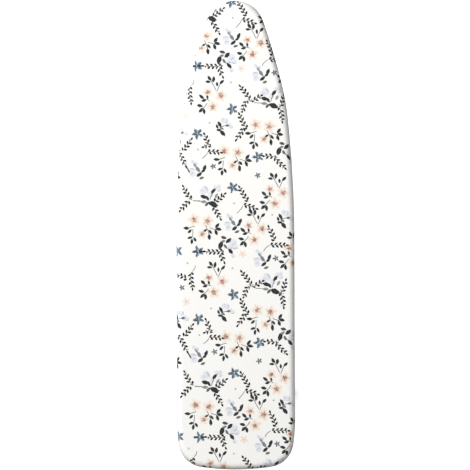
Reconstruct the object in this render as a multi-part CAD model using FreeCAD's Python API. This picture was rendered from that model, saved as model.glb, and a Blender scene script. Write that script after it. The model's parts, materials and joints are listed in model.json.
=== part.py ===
import FreeCAD, Part
import math
import os

# An ironing board: a padded top with an elasticated cover, on two crossed legs that fold
# flat under it. Millimetres. +Z is up, +Y points to the nose, and the origin is on the floor
# under the middle of the board. Left is -X. The model stands at its working height.

# ---- Driving dimensions -------------------------------------------------------------------
LENGTH = 1370.0
WIDTH = 345.0
TOP = 900.0                     # working height, to the top of the cover

COVER_T = 1.0                   # printed cotton
PAD_T = 5.8                     # felt and foam under the cover
PANEL_T = 1.0                   # perforated steel deck
SOFT_GAP = 0.1                  # left between the soft layers
EDGE_R = 17.2                   # the cover's round edge
TUCK_R = 11.0                   # the cover's turn under the rim
HEM_INSET = 34.0                # how far in from the outline the cover reaches underneath
ELASTIC_W = 6.0
ELASTIC_T = 2.0

RIM_R = 9.0                     # the bent steel tube round the deck
TUBE_R = 11.0                   # leg and foot tubes
TUBE_WALL = 1.2
RIM_WALL = 1.0

PIVOT_DROP = 50.0               # from the top of the cover to the leg pivots
STAND_ANGLE = 52.0              # each leg's slope when the board stands
CROSS_R = 475.0                 # from either top pivot to the centre axle
FIXED_Y = -405.0                # the nose leg's fixed pivot
NOSE_LEG_X = 68.0               # its two tubes stand outside the tail leg's
TAIL_LEG_X = 22.0
OVERRUN = 13.0                  # tube left above a top pivot
NOSE_FOOT_HALF = 150.0
TAIL_FOOT_HALF = 165.0
FOOT_R = 14.0                   # foot cap
FOOT_Z = 13.2                   # its axis; the cap is cut flat where it meets the floor
BRACE_R = 4.0

PIN_R = 4.0                     # pivot pins and centre axle
SLIDE_R = 5.0                   # the rod at the tail leg's top
RUNNING = 0.06                  # radial clearance of a turning fit
CLEAR = 0.3                     # between pieces that move past each other
SHEET_T = 2.5                   # folded steel brackets and rails

RAIL_X = 44.0                   # inner face of a guide rail's web
RAIL_Y0 = 145.0
RAIL_Y1 = 578.0
RAIL_FLANGE = 18.0
SLOT_HALF = 7.2
SLOT_SPARE = 15.0               # slot left beyond the rod at each end of its travel

LEVER_X = -37.0                 # the release lever's hinge rod
LEVER_Z = 876.0
LEVER_Y0 = 100.0
LEVER_Y1 = 420.0
ARM_W = 30.0
RIVET_R = 2.0
VENT_R = 6.0
VENT_PITCH = 40.0

# ---- Worked out from them -----------------------------------------------------------------
PIVOT_Z = TOP - PIVOT_DROP
LEG = (PIVOT_Z - FOOT_Z) / math.sin(math.radians(STAND_ANGLE))
REACH = CROSS_R * math.cos(math.radians(STAND_ANGLE))
SLIDE_Y = FIXED_Y + 2 * REACH
SLIDE_FOLDED_Y = FIXED_Y + 2 * CROSS_R
CROSS_Y = FIXED_Y + REACH
CROSS_Z = PIVOT_Z - CROSS_R * math.sin(math.radians(STAND_ANGLE))
FOOT_REACH = LEG * math.cos(math.radians(STAND_ANGLE))
NOSE_FOOT_Y = FIXED_Y + FOOT_REACH
TAIL_FOOT_Y = SLIDE_Y - FOOT_REACH

EDGE_Z = TOP - EDGE_R           # height of the centre of the round edge
PAD_TOP_R = EDGE_R - COVER_T - SOFT_GAP
PAD_LOW_R = PAD_TOP_R - PAD_T
PANEL_TOP = EDGE_Z + PAD_LOW_R - SOFT_GAP
DECK_Z = PANEL_TOP - PANEL_T    # underside of the deck, where everything hangs
RIM_Z = DECK_Z - RIM_R

# The outline is a chain of arcs that all turn the same way and meet smoothly, so an inset
# outline keeps their centres. Each is (radius, heading at its end in degrees): a heading of
# 90 runs across the nose tip to the right and 0 runs straight down the side. None stands for
# the radius that makes the chain as wide as the board.
NOSE_ARCS = ((88.0, 19.3), (1825.0, 12.7), (675.0, 6.0), (None, 0.0))
TAIL_ARCS = ((425.0, -9.6), (76.0, -81.4), (None, -90.0))

X_DIR = FreeCAD.Vector(1, 0, 0)
Y_DIR = FreeCAD.Vector(0, 1, 0)
Z_DIR = FreeCAD.Vector(0, 0, 1)
ORIGIN = FreeCAD.Vector(0, 0, 0)


# ---- Small helpers ------------------------------------------------------------------------
def vec(x, y, z):
    return FreeCAD.Vector(x, y, z)


def box(x0, x1, y0, y1, z0, z1):
    return Part.makeBox(x1 - x0, y1 - y0, z1 - z0, vec(x0, y0, z0))


def rod_x(radius, x0, x1, y, z):
    return Part.makeCylinder(radius, x1 - x0, vec(x0, y, z), X_DIR)


def rod_y(radius, y0, y1, x, z):
    return Part.makeCylinder(radius, y1 - y0, vec(x, y0, z), Y_DIR)


def rod_z(radius, z0, z1, x, y):
    return Part.makeCylinder(radius, z1 - z0, vec(x, y, z0), Z_DIR)


def ring_x(outer, inner, x0, x1, y, z):
    return rod_x(outer, x0, x1, y, z).cut(rod_x(inner, x0 - 1, x1 + 1, y, z))


def side_span(side, near, far):
    """The x range from near to far on one side of the middle, lowest first."""
    return sorted((side * near, side * far))


def fuse(shapes):
    return shapes[0].multiFuse(shapes[1:]).removeSplitter()


def turned(shape, degrees, y, z):
    """A copy turned about the line along X through (y, z)."""
    copy = shape.copy()
    copy.rotate(vec(0, y, z), X_DIR, degrees)
    return copy


def polygon(points):
    return Part.Face(Part.makePolygon(points + [points[0]]))


def strip(points, thickness):
    """The outline of a bent strip in a plane: the points, then their offset to the left."""
    offset = []
    for i, (px, py) in enumerate(points):
        before = points[max(i - 1, 0)]
        after = points[min(i + 1, len(points) - 1)]
        into = math.atan2(py - before[1], px - before[0]) if i > 0 else None
        out = math.atan2(after[1] - py, after[0] - px) if i < len(points) - 1 else None
        into = out if into is None else into
        out = into if out is None else out
        normal = (into + out) / 2 + math.pi / 2
        reach = thickness / math.cos((out - into) / 2)
        offset.append((px + reach * math.cos(normal), py + reach * math.sin(normal)))
    return points + offset[::-1]


def save(shape, node):
    shape.exportStep("parts/" + node + ".step")


# ---- Outline ------------------------------------------------------------------------------
def along(heading):
    """The direction of travel round the outline at a heading."""
    turn = math.radians(heading)
    return vec(math.sin(turn), -math.cos(turn), 0)


def inward(heading):
    turn = math.radians(heading)
    return vec(-math.cos(turn), -math.sin(turn), 0)


def widened(arcs, start):
    """Fills in the missing radius, so that the arcs span half the board's width."""
    width = 0.0
    for radius, end in arcs:
        share = abs(math.cos(math.radians(end)) - math.cos(math.radians(start)))
        if radius is None:
            missing = share
        else:
            width += radius * share
        start = end
    closing = (WIDTH / 2 - width) / missing
    return [(closing if radius is None else radius, end) for radius, end in arcs]


def right_side():
    """The right half of the outline from the nose tip, as (start, radius, heading, end)
    for an arc and (start, length) for the straight side."""
    pieces = []
    point = vec(0, LENGTH / 2, 0)
    heading = 90.0
    for radius, end in widened(NOSE_ARCS, 90.0):
        pieces.append((point, radius, heading, end))
        centre = point + inward(heading) * radius
        point = centre - inward(end) * radius
        heading = end
    tail = []
    for radius, end in widened(TAIL_ARCS, 0.0):
        tail.append((radius, heading, end))
        heading = end
    drop = sum(radius * (math.sin(math.radians(a)) - math.sin(math.radians(b)))
               for radius, a, b in tail)
    straight = point.y - drop + LENGTH / 2
    pieces.append((point, straight))
    point = point + along(0) * straight
    for radius, start, end in tail:
        pieces.append((point, radius, start, end))
        centre = point + inward(start) * radius
        point = centre - inward(end) * radius
    return pieces


SIDE = right_side()


def outline_wire(inset, z):
    """The closed outline, moved inwards, at a height."""
    right = []
    for piece in SIDE:
        if len(piece) == 2:
            start = piece[0] + inward(0) * inset
            right.append((start, None, start + along(0) * piece[1]))
            continue
        start, radius, a, b = piece
        centre = start + inward(a) * radius
        ends = [centre - inward(t) * (radius - inset) for t in (a, (a + b) / 2, b)]
        right.append(tuple(ends))
    edges = []
    for side in (1, -1):
        for points in right:
            lifted = [p and vec(side * p.x, p.y, z) for p in points]
            if lifted[1] is None:
                edges.append(Part.LineSegment(lifted[0], lifted[2]).toShape())
            else:
                edges.append(Part.Arc(*lifted).toShape())
    return Part.Wire(Part.__sortEdges__(edges))


def half_width(y, inset):
    """Half the width between the sides of an inset outline at one place along the board."""
    plate = Part.Face(outline_wire(inset, 0.0))
    cut = plate.common(box(0, WIDTH, y - 0.05, y + 0.05, -1, 1))
    return cut.BoundBox.XMax


def plate(inset, z0, z1):
    return Part.Face(outline_wire(inset, z0)).extrude(vec(0, 0, z1 - z0))


def edge_arc(centre_inset, centre_z, radius, start, end):
    """An arc in the edge's section: x is minus the inset, angles from straight outwards."""
    points = []
    for angle in (start, (start + end) / 2, end):
        turn = math.radians(angle)
        points.append(vec(radius * math.cos(turn) - centre_inset, 0,
                          centre_z + radius * math.sin(turn)))
    return Part.Arc(*points).toShape()


def edge_line(inset0, z0, inset1, z1):
    return Part.LineSegment(vec(-inset0, 0, z0), vec(-inset1, 0, z1)).toShape()


def edge_band(section):
    """A section of the edge, carried all the way round the outline."""
    spans = []
    for piece in SIDE:
        face = section.copy()
        if len(piece) == 2:
            face.translate(piece[0])
            spans.append(face.extrude(along(0) * piece[1]))
            continue
        start, radius, a, b = piece
        centre = start + inward(a) * radius
        face.translate(vec(radius, 0, 0))
        face.rotate(ORIGIN, Z_DIR, a)
        face.translate(centre)
        spans.append(face.revolve(centre, Z_DIR * -1, a - b))
    mirrored = [span.mirror(ORIGIN, X_DIR) for span in spans]
    return fuse(spans + mirrored)


# ---- Soft top -----------------------------------------------------------------------------
def make_cover():
    low = EDGE_Z - TUCK_R
    inner_r = EDGE_R - COVER_T
    edges = [
        edge_arc(EDGE_R, EDGE_Z, EDGE_R, 90, 0),
        edge_arc(TUCK_R, EDGE_Z, TUCK_R, 0, -90),
        edge_line(TUCK_R, low, HEM_INSET, low),
        edge_line(HEM_INSET, low, HEM_INSET, low + COVER_T),
        edge_line(HEM_INSET, low + COVER_T, TUCK_R, low + COVER_T),
        edge_arc(TUCK_R, EDGE_Z, TUCK_R - COVER_T, -90, 0),
        edge_arc(EDGE_R, EDGE_Z, inner_r, 0, 90),
        edge_line(EDGE_R, EDGE_Z + inner_r, EDGE_R, TOP),
    ]
    band = edge_band(Part.Face(Part.Wire(edges)))
    return fuse([plate(EDGE_R, TOP - COVER_T, TOP), band])


def make_elastic_hem():
    low = EDGE_Z - TUCK_R - (ELASTIC_T - COVER_T) / 2
    start = HEM_INSET + SOFT_GAP
    end = start + ELASTIC_W
    edges = [
        edge_line(start, low, end, low),
        edge_line(end, low, end, low + ELASTIC_T),
        edge_line(end, low + ELASTIC_T, start, low + ELASTIC_T),
        edge_line(start, low + ELASTIC_T, start, low),
    ]
    return edge_band(Part.Face(Part.Wire(edges)))


def make_pad():
    """A slab with a rounded upper edge that stands a little proud of the rim all round."""
    low = EDGE_Z + PAD_LOW_R
    turn = math.degrees(math.asin(PAD_LOW_R / PAD_TOP_R))
    low_inset = EDGE_R - math.sqrt(PAD_TOP_R ** 2 - PAD_LOW_R ** 2)
    edges = [
        edge_arc(EDGE_R, EDGE_Z, PAD_TOP_R, 90, turn),
        edge_line(low_inset, low, EDGE_R, low),
        edge_line(EDGE_R, low, EDGE_R, EDGE_Z + PAD_TOP_R),
    ]
    band = edge_band(Part.Face(Part.Wire(edges)))
    return fuse([plate(EDGE_R, low, EDGE_Z + PAD_TOP_R), band])


# ---- Steel deck ---------------------------------------------------------------------------
RAIL_RIVET_X = RAIL_X + SHEET_T + RAIL_FLANGE / 2
RAIL_RIVETS = [(side * RAIL_RIVET_X, y) for side in (-1, 1) for y in (170, 290, 410, 530)]
BRACKET_HALF = 20.0             # half the length of a pivot bracket along the board
BRACKET_RIVETS = [(side * NOSE_LEG_X, FIXED_Y + step) for side in (-1, 1) for step in (-13, 13)]
LUG_FOOT = 20.0
LUG_GAP = 2.0                   # between a hinge lug and the end of the lever
LUG_RIVETS = [(LEVER_X, LEVER_Y0 - LUG_GAP - SHEET_T - LUG_FOOT / 2),
              (LEVER_X, LEVER_Y1 + LUG_GAP + SHEET_T + LUG_FOOT / 2)]
DECK_RIVETS = RAIL_RIVETS + BRACKET_RIVETS + LUG_RIVETS
RIB_Y = {"rib_tail": -560.0, "rib_rear": -300.0, "rib_middle": -50.0, "rib_nose": 612.0}
PANEL_INSET = EDGE_R - 3.0


def vent_centres():
    """Staggered rows of vent holes, kept off the rim and the rivets."""
    field = Part.Face(outline_wire(EDGE_R + RIM_R + 2 * VENT_R, 0.0))
    row_step = VENT_PITCH * math.sin(math.radians(60))
    centres = []
    rows = int(LENGTH / 2 / row_step)
    columns = int(WIDTH / 2 / VENT_PITCH) + 1
    for row in range(-rows, rows + 1):
        shift = VENT_PITCH / 2 if row % 2 else 0.0
        for column in range(-columns, columns + 1):
            x = column * VENT_PITCH + shift
            y = row * row_step
            near = min(math.hypot(x - rx, y - ry) for rx, ry in DECK_RIVETS)
            if near > VENT_R + 3 * RIVET_R and field.isInside(vec(x, y, 0), 0.01, True):
                centres.append((x, y))
    return centres


def make_deck_panel():
    circles = [(x, y, VENT_R) for x, y in vent_centres()]
    circles += [(x, y, RIVET_R) for x, y in DECK_RIVETS]
    wires = [outline_wire(PANEL_INSET, DECK_Z)]
    for x, y, radius in circles:
        wires.append(Part.Wire(Part.Circle(vec(x, y, DECK_Z), Z_DIR, radius).toShape()))
    sheet = Part.Face(wires[0]).cut(Part.makeCompound([Part.Face(w) for w in wires[1:]]))
    return sheet.extrude(vec(0, 0, PANEL_T))


def make_deck_rim():
    """A tube bent to the outline, whose ends meet at the middle of the tail."""
    disc = Part.Face(Part.Wire(Part.Circle(vec(-EDGE_R, 0, RIM_Z), Y_DIR, RIM_R).toShape()))
    bore = Part.Face(Part.Wire(Part.Circle(vec(-EDGE_R, 0, RIM_Z), Y_DIR,
                                           RIM_R - RIM_WALL).toShape()))
    tube = edge_band(disc.cut(bore))
    end_y = -LENGTH / 2 + EDGE_R
    joint = box(-CLEAR, CLEAR, end_y - 2 * RIM_R, end_y + 2 * RIM_R,
                RIM_Z - 2 * RIM_R, RIM_Z + 2 * RIM_R)
    return tube.cut(joint)


def make_rib(y):
    """A pressed hat-section channel across the deck, its feet against the panel."""
    foot = 8.0
    half_crown = 9.0
    reach = half_crown + foot
    half = min(half_width(y + step, EDGE_R + RIM_R + 1.0) for step in (-reach, reach))
    depth = 13.0
    metal = 1.0
    line = [(-half_crown - foot, 0), (-half_crown, 0), (-half_crown + 2, -depth),
            (half_crown - 2, -depth), (half_crown, 0), (half_crown + foot, 0)]
    section = [vec(-half, y + p, DECK_Z - metal + q) for p, q in strip(line, metal)]
    return polygon(section).extrude(vec(2 * half, 0, 0))


# ---- Guide rails, pivot brackets and their fastenings ----------------------------------------
def slot_cutter(x0, x1):
    """The slot that the slide rod's bushes run along."""
    y0 = SLIDE_Y - SLOT_SPARE + SLOT_HALF
    y1 = SLIDE_FOLDED_Y + SLOT_SPARE - SLOT_HALF
    return fuse([
        box(x0, x1, y0, y1, PIVOT_Z - SLOT_HALF, PIVOT_Z + SLOT_HALF),
        rod_x(SLOT_HALF, x0, x1, y0, PIVOT_Z),
        rod_x(SLOT_HALF, x0, x1, y1, PIVOT_Z),
    ])


def make_guide_rail(side):
    lip = 6.0
    web_x0, web_x1 = side_span(side, RAIL_X, RAIL_X + SHEET_T)
    flange_x0, flange_x1 = side_span(side, RAIL_X, RAIL_X + SHEET_T + RAIL_FLANGE)
    web = box(web_x0, web_x1, RAIL_Y0, RAIL_Y1, PIVOT_Z - SLOT_HALF - lip, DECK_Z)
    flange = box(flange_x0, flange_x1, RAIL_Y0, RAIL_Y1, DECK_Z - SHEET_T, DECK_Z)
    rail = fuse([web, flange]).cut(slot_cutter(web_x0 - 1, web_x1 + 1))
    holes = [rod_z(RIVET_R, DECK_Z - 2 * SHEET_T, DECK_Z + 1, x, y)
             for x, y in RAIL_RIVETS if x * side > 0]
    return rail.cut(Part.makeCompound(holes))


EAR_IN = 52.0                   # a pivot bracket's two ears
EAR_OUT = 82.0
EAR_T = 2.0


def make_pivot_bracket(side):
    drop = 10.0
    parts = []
    for near in (EAR_IN, EAR_OUT):
        x0, x1 = side_span(side, near, near + EAR_T)
        parts.append(box(x0, x1, FIXED_Y - BRACKET_HALF, FIXED_Y + BRACKET_HALF,
                         PIVOT_Z + drop, DECK_Z))
        foot = polygon([
            vec(x0, FIXED_Y - BRACKET_HALF, PIVOT_Z + drop),
            vec(x0, FIXED_Y + BRACKET_HALF, PIVOT_Z + drop),
            vec(x0, FIXED_Y + drop, PIVOT_Z),
            vec(x0, FIXED_Y - drop, PIVOT_Z),
        ])
        parts.append(foot.extrude(vec(x1 - x0, 0, 0)))
        parts.append(rod_x(drop, x0, x1, FIXED_Y, PIVOT_Z))
    base_x0, base_x1 = side_span(side, EAR_IN, EAR_OUT + EAR_T)
    parts.append(box(base_x0, base_x1, FIXED_Y - BRACKET_HALF, FIXED_Y + BRACKET_HALF,
                     DECK_Z - EAR_T, DECK_Z))
    bores = [rod_x(PIN_R, base_x0 - 1, base_x1 + 1, FIXED_Y, PIVOT_Z)]
    bores += [rod_z(RIVET_R, DECK_Z - 2 * EAR_T, DECK_Z + 1, x, y)
              for x, y in BRACKET_RIVETS if x * side > 0]
    return fuse(parts).cut(Part.makeCompound(bores))


def make_pivot_pin(side):
    """A clevis pin with a domed head outside and a riveted-over end inside."""
    head = 2.5
    shank = rod_x(PIN_R, *side_span(side, EAR_IN - 1.5, EAR_OUT + EAR_T + head), FIXED_Y, PIVOT_Z)
    dome = rod_x(PIN_R + 2.5, *side_span(side, EAR_OUT + EAR_T, EAR_OUT + EAR_T + head),
                 FIXED_Y, PIVOT_Z)
    end = rod_x(PIN_R + 1, *side_span(side, EAR_IN - 1.5, EAR_IN), FIXED_Y, PIVOT_Z)
    return fuse([shank, dome, end])


def rivet(x, y, head_z, top_z):
    """A rivet with its dome below head_z and its shank up to top_z."""
    height = 1.8
    radius = 4.0
    sphere_r = (radius ** 2 + height ** 2) / (2 * height)
    ball = Part.makeSphere(sphere_r, vec(x, y, head_z - height + sphere_r))
    dome = ball.common(box(x - radius, x + radius, y - radius, y + radius,
                           head_z - height, head_z))
    return dome.fuse(rod_z(RIVET_R, head_z, top_z, x, y)).removeSplitter()


def make_deck_rivets():
    rivets = [rivet(x, y, DECK_Z - SHEET_T, PANEL_TOP) for x, y in RAIL_RIVETS + LUG_RIVETS]
    rivets += [rivet(x, y, DECK_Z - EAR_T, PANEL_TOP) for x, y in BRACKET_RIVETS]
    return Part.makeCompound(rivets)


# ---- Legs: each is built lying along the board and then turned down to its slope ------------
def tube_x(x0, x1, y, z):
    return ring_x(TUBE_R, TUBE_R - TUBE_WALL, x0, x1, y, z)


def stand_nose(shape):
    return turned(shape, -STAND_ANGLE, FIXED_Y, PIVOT_Z)


def stand_tail(shape):
    return turned(shape, STAND_ANGLE, SLIDE_Y, PIVOT_Z)


def leg_tube(x, top_y, way, top_bore, cross_bore, extra_bores):
    """A straight tube from above its top pivot to the foot bar, which it is coped to fit.
    way is +1 where the leg runs to the nose and -1 where it runs to the tail."""
    foot_y = top_y + way * LEG
    y0, y1 = sorted((top_y - way * OVERRUN, foot_y))
    tube = rod_y(TUBE_R, y0, y1, x, PIVOT_Z)
    inside = rod_y(TUBE_R - TUBE_WALL, y0 - 1, y1 + 1, x, PIVOT_Z)
    for round_bar in (tube, inside):
        round_bar.rotate(vec(x, 0, PIVOT_Z), Y_DIR, 90)     # its seam faces clear of the bores
    cuts = [inside, rod_x(TUBE_R, x - 2 * TUBE_R, x + 2 * TUBE_R, foot_y, PIVOT_Z)]
    bores = [(top_y, top_bore), (top_y + way * CROSS_R, cross_bore)]
    bores += [(top_y + way * distance, radius) for distance, radius in extra_bores]
    for y, radius in bores:
        cuts.append(rod_x(radius, x - 2 * TUBE_R, x + 2 * TUBE_R, y, PIVOT_Z))
    return tube.cut(Part.makeCompound(cuts))


def end_plug(x, top_y, way):
    """A plastic plug in the open top of a leg tube."""
    lid = 2.0
    spigot = 5.0
    y0, y1 = sorted((top_y - way * OVERRUN, top_y - way * (OVERRUN + lid)))
    cap = rod_y(TUBE_R, y0, y1, x, PIVOT_Z)
    s0, s1 = sorted((top_y - way * OVERRUN, top_y - way * (OVERRUN - spigot)))
    return cap.fuse(rod_y(TUBE_R - TUBE_WALL, s0, s1, x, PIVOT_Z)).removeSplitter()


def foot_cap(side, half, y):
    """A plastic cup over the end of a foot bar, with a flat sole."""
    cup = 34.0
    end_wall = 4.0
    x0, x1 = side_span(side, half - cup, half)
    body = rod_x(FOOT_R, x0, x1, y, FOOT_Z)
    outer = [edge for edge in body.Edges
             if abs(abs(edge.BoundBox.XMin) - half) < 0.01 and abs(edge.BoundBox.XLength) < 0.01]
    body = body.makeFillet(3.0, outer)
    bore_x = side_span(side, half - cup - 1, half - end_wall)
    body = body.cut(rod_x(TUBE_R, *bore_x, y, FOOT_Z))
    below = box(x0 - 1, x1 + 1, y - FOOT_R, y + FOOT_R, -FOOT_R, 0)
    return body.cut(below)


def foot_bar(half, y):
    end_wall = 4.0
    return tube_x(-half + end_wall, half - end_wall, y, FOOT_Z)


NOSE_BRACE_AT = LEG - 55.0      # distance down the leg from its top pivot
TAIL_BRACES_AT = {"tail_leg_brace_upper": 60.0, "tail_leg_brace_lower": 800.0}
BUSH_R = 6.0


def make_pivot_bush(side):
    """A flanged plastic bush through the top of a nose leg tube."""
    sleeve = rod_x(BUSH_R, *side_span(side, EAR_IN + EAR_T + 0.4, EAR_OUT - 0.4),
                   FIXED_Y, PIVOT_Z)
    near = rod_x(BUSH_R + 3, *side_span(side, EAR_IN + EAR_T + 0.4, NOSE_LEG_X - TUBE_R),
                 FIXED_Y, PIVOT_Z)
    far = rod_x(BUSH_R + 3, *side_span(side, NOSE_LEG_X + TUBE_R, EAR_OUT - 0.4),
                FIXED_Y, PIVOT_Z)
    bore = rod_x(PIN_R + RUNNING, *side_span(side, EAR_IN, EAR_OUT + EAR_T), FIXED_Y, PIVOT_Z)
    return stand_nose(fuse([sleeve, near, far]).cut(bore))


def make_axle_cap(side):
    """A domed cap pressed on the end of the centre axle."""
    face = NOSE_LEG_X + TUBE_R + SOFT_GAP
    depth = 5.0
    cap = rod_x(PIN_R + 3.5, *side_span(side, face, face + depth), CROSS_Y, CROSS_Z)
    outer = [edge for edge in cap.Edges if abs(abs(edge.BoundBox.XMin) - face - depth) < 0.01
             and abs(edge.BoundBox.XLength) < 0.01]
    cap = cap.makeFillet(2.0, outer)
    return cap.cut(rod_x(PIN_R, *side_span(side, face - 1, face + depth - 1.5), CROSS_Y, CROSS_Z))


def make_axle_spacers():
    inner = TAIL_LEG_X + TUBE_R + CLEAR
    outer = NOSE_LEG_X - TUBE_R - SOFT_GAP
    middle = TAIL_LEG_X - TUBE_R - CLEAR
    return {
        "axle_spacer_left": ring_x(7.0, PIN_R + RUNNING, -outer, -inner, CROSS_Y, CROSS_Z),
        "axle_spacer_middle": ring_x(7.0, PIN_R + RUNNING, -middle, middle, CROSS_Y, CROSS_Z),
        "axle_spacer_right": ring_x(7.0, PIN_R + RUNNING, inner, outer, CROSS_Y, CROSS_Z),
    }


GLIDE_IN = RAIL_X - 0.4         # a glide bush's flanges stand either side of the rail's web
GLIDE_OUT = RAIL_X + SHEET_T + 0.4
GLIDE_FLANGE = 1.4


def make_glide_bush(side):
    hub = rod_x(SLOT_HALF - CLEAR, *side_span(side, GLIDE_IN, GLIDE_OUT), SLIDE_Y, PIVOT_Z)
    flange_r = SLOT_HALF + 3.3
    near = rod_x(flange_r, *side_span(side, GLIDE_IN - GLIDE_FLANGE, GLIDE_IN), SLIDE_Y, PIVOT_Z)
    far = rod_x(flange_r, *side_span(side, GLIDE_OUT, GLIDE_OUT + GLIDE_FLANGE), SLIDE_Y, PIVOT_Z)
    bore = rod_x(SLIDE_R + RUNNING, *side_span(side, RAIL_X - 5, RAIL_X + 10), SLIDE_Y, PIVOT_Z)
    return fuse([hub, near, far]).cut(bore)


def make_rod_clip(side):
    """A spring clip that keeps a glide bush on the slide rod."""
    near = GLIDE_OUT + GLIDE_FLANGE + SOFT_GAP
    x0, x1 = side_span(side, near, near + 1.0)
    ring = ring_x(SLIDE_R + 3.5, SLIDE_R, x0, x1, SLIDE_Y, PIVOT_Z)
    mouth = box(x0 - 1, x1 + 1, SLIDE_Y - 2.5, SLIDE_Y + 2.5, PIVOT_Z - 12, PIVOT_Z)
    return ring.cut(mouth)


# ---- Release lever ------------------------------------------------------------------------
BAR_T = 2.0
BAR_EDGE = 3.0                  # the right edge of the toothed bar
HINGE_R = 3.0
KNUCKLE_R = 5.0
TEETH_Z = PIVOT_Z + SLIDE_R + 0.6
NOTCH_R = 5.6
NOTCH_PITCH = 40.0
NOTCHES = 6
ARM_T = 2.5
ARM_END = 116.0
GRIP_X0 = 90.0
GRIP_X1 = 120.0
BAR_RIVETS = [(x, LEVER_Y0 + ARM_W / 2) for x in (-22.0, -4.0)]
SPRING_X = -14.0
SPRING_Y = 260.0


def make_release_bar():
    """A plate rolled round the hinge rod on its left edge, with notches turned down on its
    right one, over the slide rod."""
    web_top = LEVER_Z + BAR_T / 2
    web = box(LEVER_X, BAR_EDGE, LEVER_Y0, LEVER_Y1, web_top - BAR_T, web_top)
    flange = box(BAR_EDGE - BAR_T, BAR_EDGE, LEVER_Y0 + ARM_W, LEVER_Y1, TEETH_Z, web_top)
    knuckle = rod_y(KNUCKLE_R, LEVER_Y0, LEVER_Y1, LEVER_X, LEVER_Z)
    bar = fuse([web, flange, knuckle])
    cuts = [rod_y(HINGE_R + RUNNING, LEVER_Y0 - 1, LEVER_Y1 + 1, LEVER_X, LEVER_Z)]
    for step in range(NOTCHES):
        cuts.append(rod_x(NOTCH_R, BAR_EDGE - 2 * BAR_T, BAR_EDGE + BAR_T,
                          SLIDE_Y + step * NOTCH_PITCH, TEETH_Z))
    cuts += [rod_z(RIVET_R, web_top - 2 * BAR_T, web_top + 1, x, y) for x, y in BAR_RIVETS]
    return bar.cut(Part.makeCompound(cuts))


def make_release_arm():
    """A strip riveted on the bar that dips past the folded leg to the hand grip."""
    web_top = LEVER_Z + BAR_T / 2
    over_leg = PIVOT_Z + TUBE_R + 2.5
    at_grip = over_leg - 17.0
    line = [(LEVER_X + 8, web_top), (8, web_top), (46, over_leg), (86, over_leg),
            (96, at_grip), (ARM_END, at_grip)]
    section = [vec(x, LEVER_Y0, z) for x, z in strip(line, ARM_T)]
    arm = polygon(section).extrude(vec(0, ARM_W, 0))
    holes = [rod_z(RIVET_R, web_top - 1, web_top + 2 * ARM_T, x, y) for x, y in BAR_RIVETS]
    return arm.cut(Part.makeCompound(holes))


def make_release_grip():
    """A moulded grip pushed over the end of the arm."""
    margin = 5.0
    mid_z = PIVOT_Z + TUBE_R + 2.5 - 17.0 + ARM_T / 2
    body = box(GRIP_X0, GRIP_X1, LEVER_Y0 - margin, LEVER_Y0 + ARM_W + margin,
               mid_z - 8, mid_z + 8)
    body = body.makeFillet(5.0, body.Edges)
    return body.cut(make_release_arm())


def make_lever_rivets():
    low = LEVER_Z - BAR_T / 2
    return Part.makeCompound([rivet(x, y, low, low + BAR_T + ARM_T) for x, y in BAR_RIVETS])


def make_lever_lug(way):
    """An angle under the deck that holds one end of the hinge rod."""
    half = 6.0
    face = LEVER_Y1 + LUG_GAP if way > 0 else LEVER_Y0 - LUG_GAP
    y0, y1 = sorted((face, face + way * SHEET_T))
    f0, f1 = sorted((face, face + way * (SHEET_T + LUG_FOOT)))
    plate_down = box(LEVER_X - half, LEVER_X + half, y0, y1, LEVER_Z - half, DECK_Z)
    foot = box(LEVER_X - half, LEVER_X + half, f0, f1, DECK_Z - SHEET_T, DECK_Z)
    bore = rod_y(HINGE_R, y0 - 1, y1 + 1, LEVER_X, LEVER_Z)
    holes = [rod_z(RIVET_R, DECK_Z - 2 * SHEET_T, DECK_Z + 1, x, y) for x, y in LUG_RIVETS]
    return fuse([plate_down, foot]).cut(Part.makeCompound([bore] + holes))


def make_hinge_rod():
    end = LUG_GAP + SHEET_T + 1.5
    return rod_y(HINGE_R, LEVER_Y0 - end, LEVER_Y1 + end, LEVER_X, LEVER_Z)


def make_return_spring():
    """A compression spring between the deck and the bar."""
    wire_r = 0.7
    coil_r = 6.0
    turns = 5
    low = LEVER_Z + BAR_T / 2 + wire_r + SOFT_GAP
    high = DECK_Z - wire_r - SOFT_GAP
    path = Part.makeHelix((high - low) / turns, high - low, coil_r)
    start = Part.Circle(vec(coil_r, 0, 0), Y_DIR, wire_r).toShape()
    coil = Part.Wire(path.Edges).makePipeShell([Part.Wire(start)], True, True)
    coil.translate(vec(SPRING_X, SPRING_Y, low))
    return coil


# ---- All the pieces -----------------------------------------------------------------------
def build_deck():
    save(make_cover(), "cover")
    save(make_elastic_hem(), "elastic_hem")
    save(make_pad(), "pad")
    save(make_deck_panel(), "deck_panel")
    save(make_deck_rim(), "deck_rim")
    for node, y in RIB_Y.items():
        save(make_rib(y), node)
    for side, name in ((-1, "left"), (1, "right")):
        save(make_guide_rail(side), "guide_rail_" + name)
        save(make_pivot_bracket(side), "pivot_bracket_" + name)
        save(make_pivot_pin(side), "pivot_pin_" + name)
    save(make_deck_rivets(), "deck_rivets")
    save(make_lever_lug(-1), "lever_lug_tail_side")
    save(make_lever_lug(1), "lever_lug_nose_side")
    save(make_hinge_rod(), "lever_hinge_rod")
    save(make_return_spring(), "return_spring")


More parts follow.
